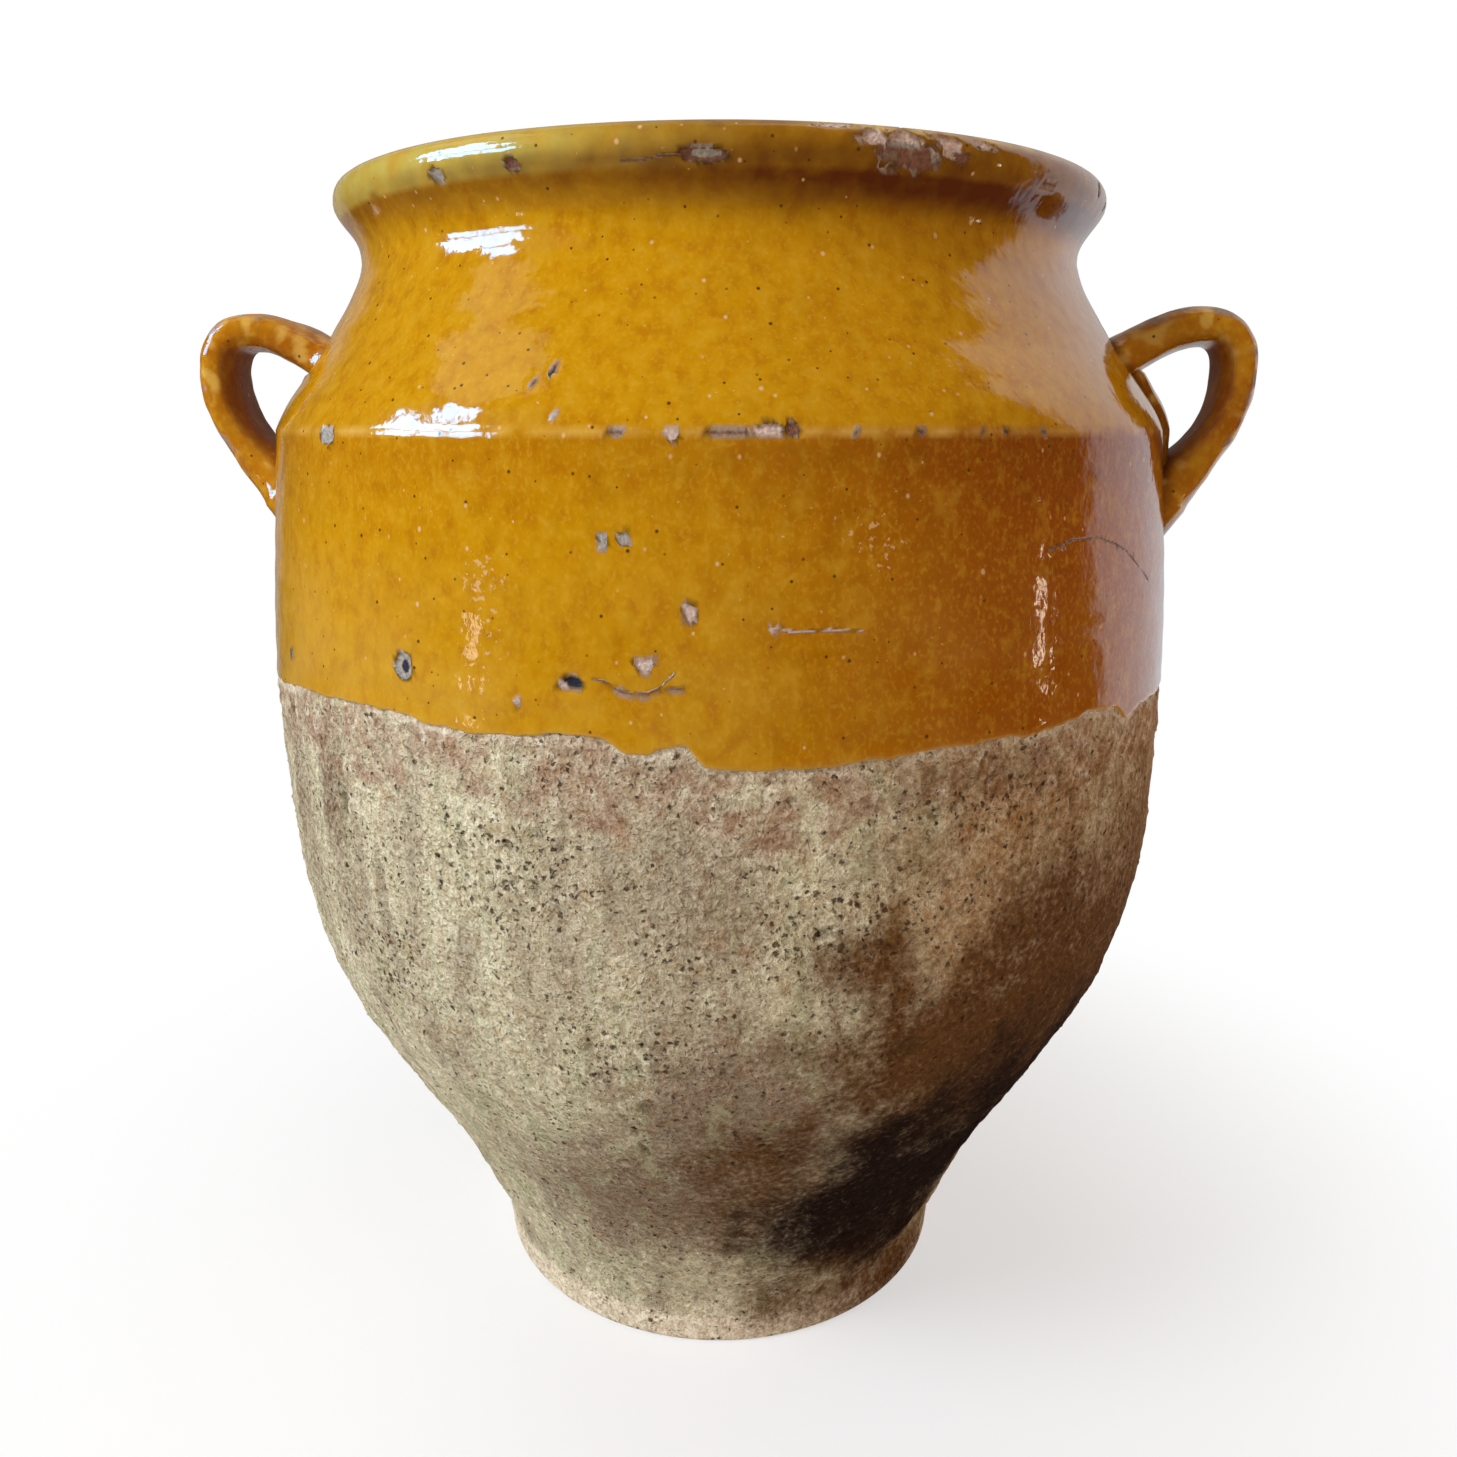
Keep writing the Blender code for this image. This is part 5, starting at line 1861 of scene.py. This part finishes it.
@dataclass(frozen=True)
class Window:
    """A window that only the glaze mirrors: panes of one width with bars between them."""

    openings: tuple[tuple[float, float, float], ...] = (
        (-80.0, 14.5, 22.8), (-69.5, 14.5, 22.8), (-59.0, 14.5, 22.8), (-86.0, 24.0, 36.2),
        (-75.5, 24.0, 36.2), (-65.0, 24.0, 36.2), (-75.5, 37.4, 44.5),
    )
    distance: float = 1.2
    pane_width: float = 0.185
    radiance: float = 19.0
    colour: str = "#86c8ff"

    def panes(self) -> list[Lamp]:
        """List the panes, one for each azimuth and span of elevation."""
        lamps = []
        for azimuth, low, high in self.openings:
            tall = 2 * self.distance * math.tan(math.radians(high - low) / 2)
            power = self.radiance * math.pi * self.pane_width * tall
            name, middle = f"pane_{azimuth:.0f}_{low:.0f}", (low + high) / 2
            size = (self.distance, self.pane_width, tall)
            lamps.append(Lamp(name, azimuth, middle, *size, power, self.colour, lights=False))
        return lamps


@dataclass(frozen=True)
class Studio:
    """Camera, floor, backdrop and lamps."""

    camera_place: tuple[float, float, float] = (0.0, -0.3605, 0.2583)
    camera_tilt: float = 78.0
    lens: float = 29.03
    image_size: float = 1457.0
    optical_centre: tuple[float, float] = (719.5, 674.8)
    aim: tuple[float, float, float] = (0.0, 0.0, 0.17)
    floor_reach: float = 2.2
    fill: float = 0.13
    fill_colour: str = "#fff0e0"
    dark_room: float = 0.05
    screen_middle: float = 160.0
    screen_half: float = 60.0
    screen_level: float = 1.0
    screen_colour: str = "#e8eef4"
    screen_side: float = 100.0
    window: Window = Window()
    lamps: tuple[Lamp, ...] = (
        Lamp("window_key", -58, 36, 1.3, 0.45, 0.55, 14.8, "#f6f8ff", mirrored=False),
        Lamp("front_fill", -4, 16, 1.5, 1.2, 0.8, 2.2, "#fff6ea", mirrored=False),
        Lamp("warm_bounce", 66, 10, 1.3, 1.0, 0.9, 3.2, "#ffb680", mirrored=False),
        Lamp("top_soft", 20, 72, 1.4, 1.2, 1.2, 3.6, "#fffaf0", mirrored=False),
        Lamp("back_left", -150, 35, 1.5, 0.9, 0.9, 6.0, mirrored=False),
        Lamp("right_wall", 118, 4, 1.1, 0.8, 1.3, 3.0, "#f4f2ff", mirrored=False),
        Lamp("sheen_card", -96, 54, 1.2, 0.60, 0.34, 0.42, "#fff2d8", lights=False),
        Lamp("right_glint", 77.5, -2, 1.2, 0.020, 0.17, 0.13, "#ffe8d0", lights=False),
        Lamp("left_glint", -56.5, -2, 1.2, 0.03, 0.11, 0.07, "#ffe8d0", lights=False),
    )

    def build(self) -> None:
        """Set the stage."""
        scene = bpy.context.scene
        scene.view_settings.view_transform = "Standard"
        self.build_camera()
        self.build_world()
        self.build_floor()
        for lamp in (*self.lamps, *self.window.panes()):
            self.build_lamp(lamp)

    def build_camera(self) -> None:
        """Stand the camera where the photograph was taken from."""
        data = bpy.data.cameras.new("camera")
        data.lens = self.lens
        half = self.image_size / 2
        data.shift_x = -(self.optical_centre[0] - half) / self.image_size
        data.shift_y = (self.optical_centre[1] - half) / self.image_size
        data.clip_start = 0.01
        camera = bpy.data.objects.new("camera", data)
        camera.location = self.camera_place
        camera.rotation_euler = (math.radians(self.camera_tilt), 0.0, 0.0)
        bpy.context.scene.collection.objects.link(camera)
        bpy.context.scene.camera = camera

    def build_world(self) -> None:
        """Show a white backdrop, mirrored behind the pot only, over a dim even fill."""
        world = bpy.data.worlds.new("studio")
        bpy.context.scene.world = world
        world.use_nodes = True
        tree = world.node_tree
        tree.nodes.clear()
        path = add(tree, "ShaderNodeLightPath")
        ray = add(tree, "ShaderNodeTexCoord")["Generated"]
        screen = self.behind(tree, ray)
        mirror = add(
            tree, MATH, {0: path["Is Glossy Ray"], 1: path["Is Transmission Ray"]}, operation="MAXIMUM"
        )[0]
        mirrored = add(tree, MATH, {0: mirror, 1: screen}, operation="MULTIPLY")[0]
        shown = add(tree, MATH, {0: path["Is Camera Ray"], 1: mirrored}, operation="MAXIMUM")[0]
        unseen = add(tree, MIX, {0: mirror, 2: self.fill, 3: self.dark_room})[0]
        bright = add(tree, MIX, {0: path["Is Camera Ray"], 2: self.screen_level, 3: 1.0})[0]
        strength = add(tree, MIX, {0: shown, 2: unseen, 3: bright})[0]
        fill, screen = linear(self.fill_colour), linear(self.screen_colour)
        lit = add(tree, MIX, {0: shown, 6: fill, 7: screen}, data_type="RGBA")[2]
        tint = add(
            tree, MIX, {0: path["Is Camera Ray"], 6: lit, 7: (1.0, 1.0, 1.0, 1.0)}, data_type="RGBA"
        )[2]
        light = add(tree, "ShaderNodeBackground", {"Color": tint, "Strength": strength})
        add(tree, "ShaderNodeOutputWorld", {"Surface": light[0]})

    def behind(self, tree: bpy.types.NodeTree, place: bpy.types.NodeSocket) -> bpy.types.NodeSocket:
        """Mark the directions that the backdrop fills, behind the pot and to its right.

        Args:
            tree: the tree of the world or of the floor.
            place: a direction, or a place measured from the middle of the floor.

        Returns:
            One towards the backdrop, nought elsewhere.
        """
        level = add(tree, VECTOR, {0: place, 1: (1.0, 1.0, 0.0)}, operation="MULTIPLY")[0]
        flat = add(tree, VECTOR, {0: level}, operation="NORMALIZE")[0]
        middle = math.radians(self.screen_middle)
        facing = (math.sin(middle), -math.cos(middle), 0.0)
        across = add(tree, VECTOR, {0: flat, 1: facing}, operation="DOT_PRODUCT")["Value"]
        edge = math.cos(math.radians(self.screen_half))
        mask = add(tree, RANGE, {0: across, 1: edge - 0.045, 2: edge + 0.045})[0]
        side = math.radians(self.screen_side)
        turned = (math.sin(side), -math.cos(side), 0.0)
        nearness = add(tree, VECTOR, {0: flat, 1: turned}, operation="DOT_PRODUCT")["Value"]
        level = add(tree, RANGE, {0: nearness, 1: 0.35, 2: 0.82, 3: 0.30, 4: 1.0})[0]
        return add(tree, MATH, {0: mask, 1: level}, operation="MULTIPLY")[0]

    def build_floor(self) -> None:
        """Lay a pale floor that fades to white away from the pot and keeps its shadow."""
        bm = bmesh.new()
        bmesh.ops.create_circle(bm, cap_ends=True, segments=96, radius=self.floor_reach)
        mesh = bpy.data.meshes.new("floor")
        bm.to_mesh(mesh)
        bm.free()
        material = bpy.data.materials.new("pale_floor")
        material.use_nodes = True
        tree = material.node_tree
        tree.nodes.clear()
        path = add(tree, "ShaderNodeLightPath")
        place = add(tree, "ShaderNodeTexCoord")["Object"]
        away = add(tree, VECTOR, {0: place}, operation="LENGTH")["Value"]
        fade = add(
            tree, RANGE, {0: away, 1: 0.09, 2: 0.31, 3: 0.58, 4: 1.0}, interpolation_type="SMOOTHSTEP"
        )[0]
        lit = add(tree, "ShaderNodeBsdfDiffuse", {"Color": (0.9, 0.9, 0.9, 1.0)})[0]
        grey = add(tree, "ShaderNodeBsdfDiffuse", {"Color": (0.70, 0.68, 0.64, 1.0)})[0]
        dark = add(tree, "ShaderNodeBsdfDiffuse", {"Color": (0.10, 0.08, 0.06, 1.0)})[0]
        white = add(tree, "ShaderNodeEmission", {"Color": (1.0, 1.0, 1.0, 1.0), "Strength": 1.0})[0]
        seen = add(tree, "ShaderNodeMixShader", {0: fade, 1: lit, 2: white})[0]
        glow = {"Color": linear(self.screen_colour), "Strength": self.screen_level}
        haze = add(tree, "ShaderNodeEmission", glow)[0]
        far = add(tree, RANGE, {0: away, 1: 0.24, 2: 0.40}, interpolation_type="SMOOTHSTEP")[0]
        behind = add(tree, MATH, {0: self.behind(tree, place), 1: far}, operation="MULTIPLY")[0]
        mirrored = add(tree, "ShaderNodeMixShader", {0: behind, 1: dark, 2: haze})[0]
        unseen = add(tree, "ShaderNodeMixShader", {0: path["Is Glossy Ray"], 1: grey, 2: mirrored})[0]
        out = add(tree, "ShaderNodeMixShader", {0: path["Is Camera Ray"], 1: unseen, 2: seen})[0]
        add(tree, "ShaderNodeOutputMaterial", {"Surface": out})
        mesh.materials.append(material)
        floor = bpy.data.objects.new("floor", mesh)
        bpy.context.scene.collection.objects.link(floor)

    def build_lamp(self, lamp: Lamp) -> None:
        """Hang one lamp and turn it to the pot."""
        data = bpy.data.lights.new(lamp.name, "AREA")
        data.shape = "RECTANGLE"
        data.size = lamp.width
        data.size_y = lamp.height
        data.energy = lamp.power
        data.color = linear(lamp.colour)[:3]
        azimuth, elevation = math.radians(lamp.azimuth), math.radians(lamp.elevation)
        aim = Vector(self.aim)
        away = Vector(
            (
                math.sin(azimuth) * math.cos(elevation),
                -math.cos(azimuth) * math.cos(elevation),
                math.sin(elevation),
            )
        )
        item = bpy.data.objects.new(lamp.name, data)
        item.location = aim + away * lamp.distance
        item.rotation_euler = away.to_track_quat("Z", "Y").to_euler()
        item.visible_camera = False
        item.visible_diffuse = lamp.lights
        item.visible_glossy = lamp.mirrored
        bpy.context.scene.collection.objects.link(item)


def main() -> None:
    """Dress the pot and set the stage."""
    logging.basicConfig(level=logging.INFO, format="%(name)s: %(message)s")
    wheel, sweep, scatter = WheelTree(), SweepTree(), ScatterTree()
    Vessel().dress(wheel, scatter)
    strap_finish, wad_finish = StrapGlaze().build(), WadGlaze().build()
    for handle in (
        StrapHandle(Side.LEFT, turn=3.0, reach=18.7 * MM, seed=1.0),
        StrapHandle(Side.RIGHT, turn=12.0, reach=18.0 * MM, seed=6.0),
    ):
        handle.dress(sweep, strap_finish, wad_finish)
    Studio().build()


if __name__ == "__main__":
    main()
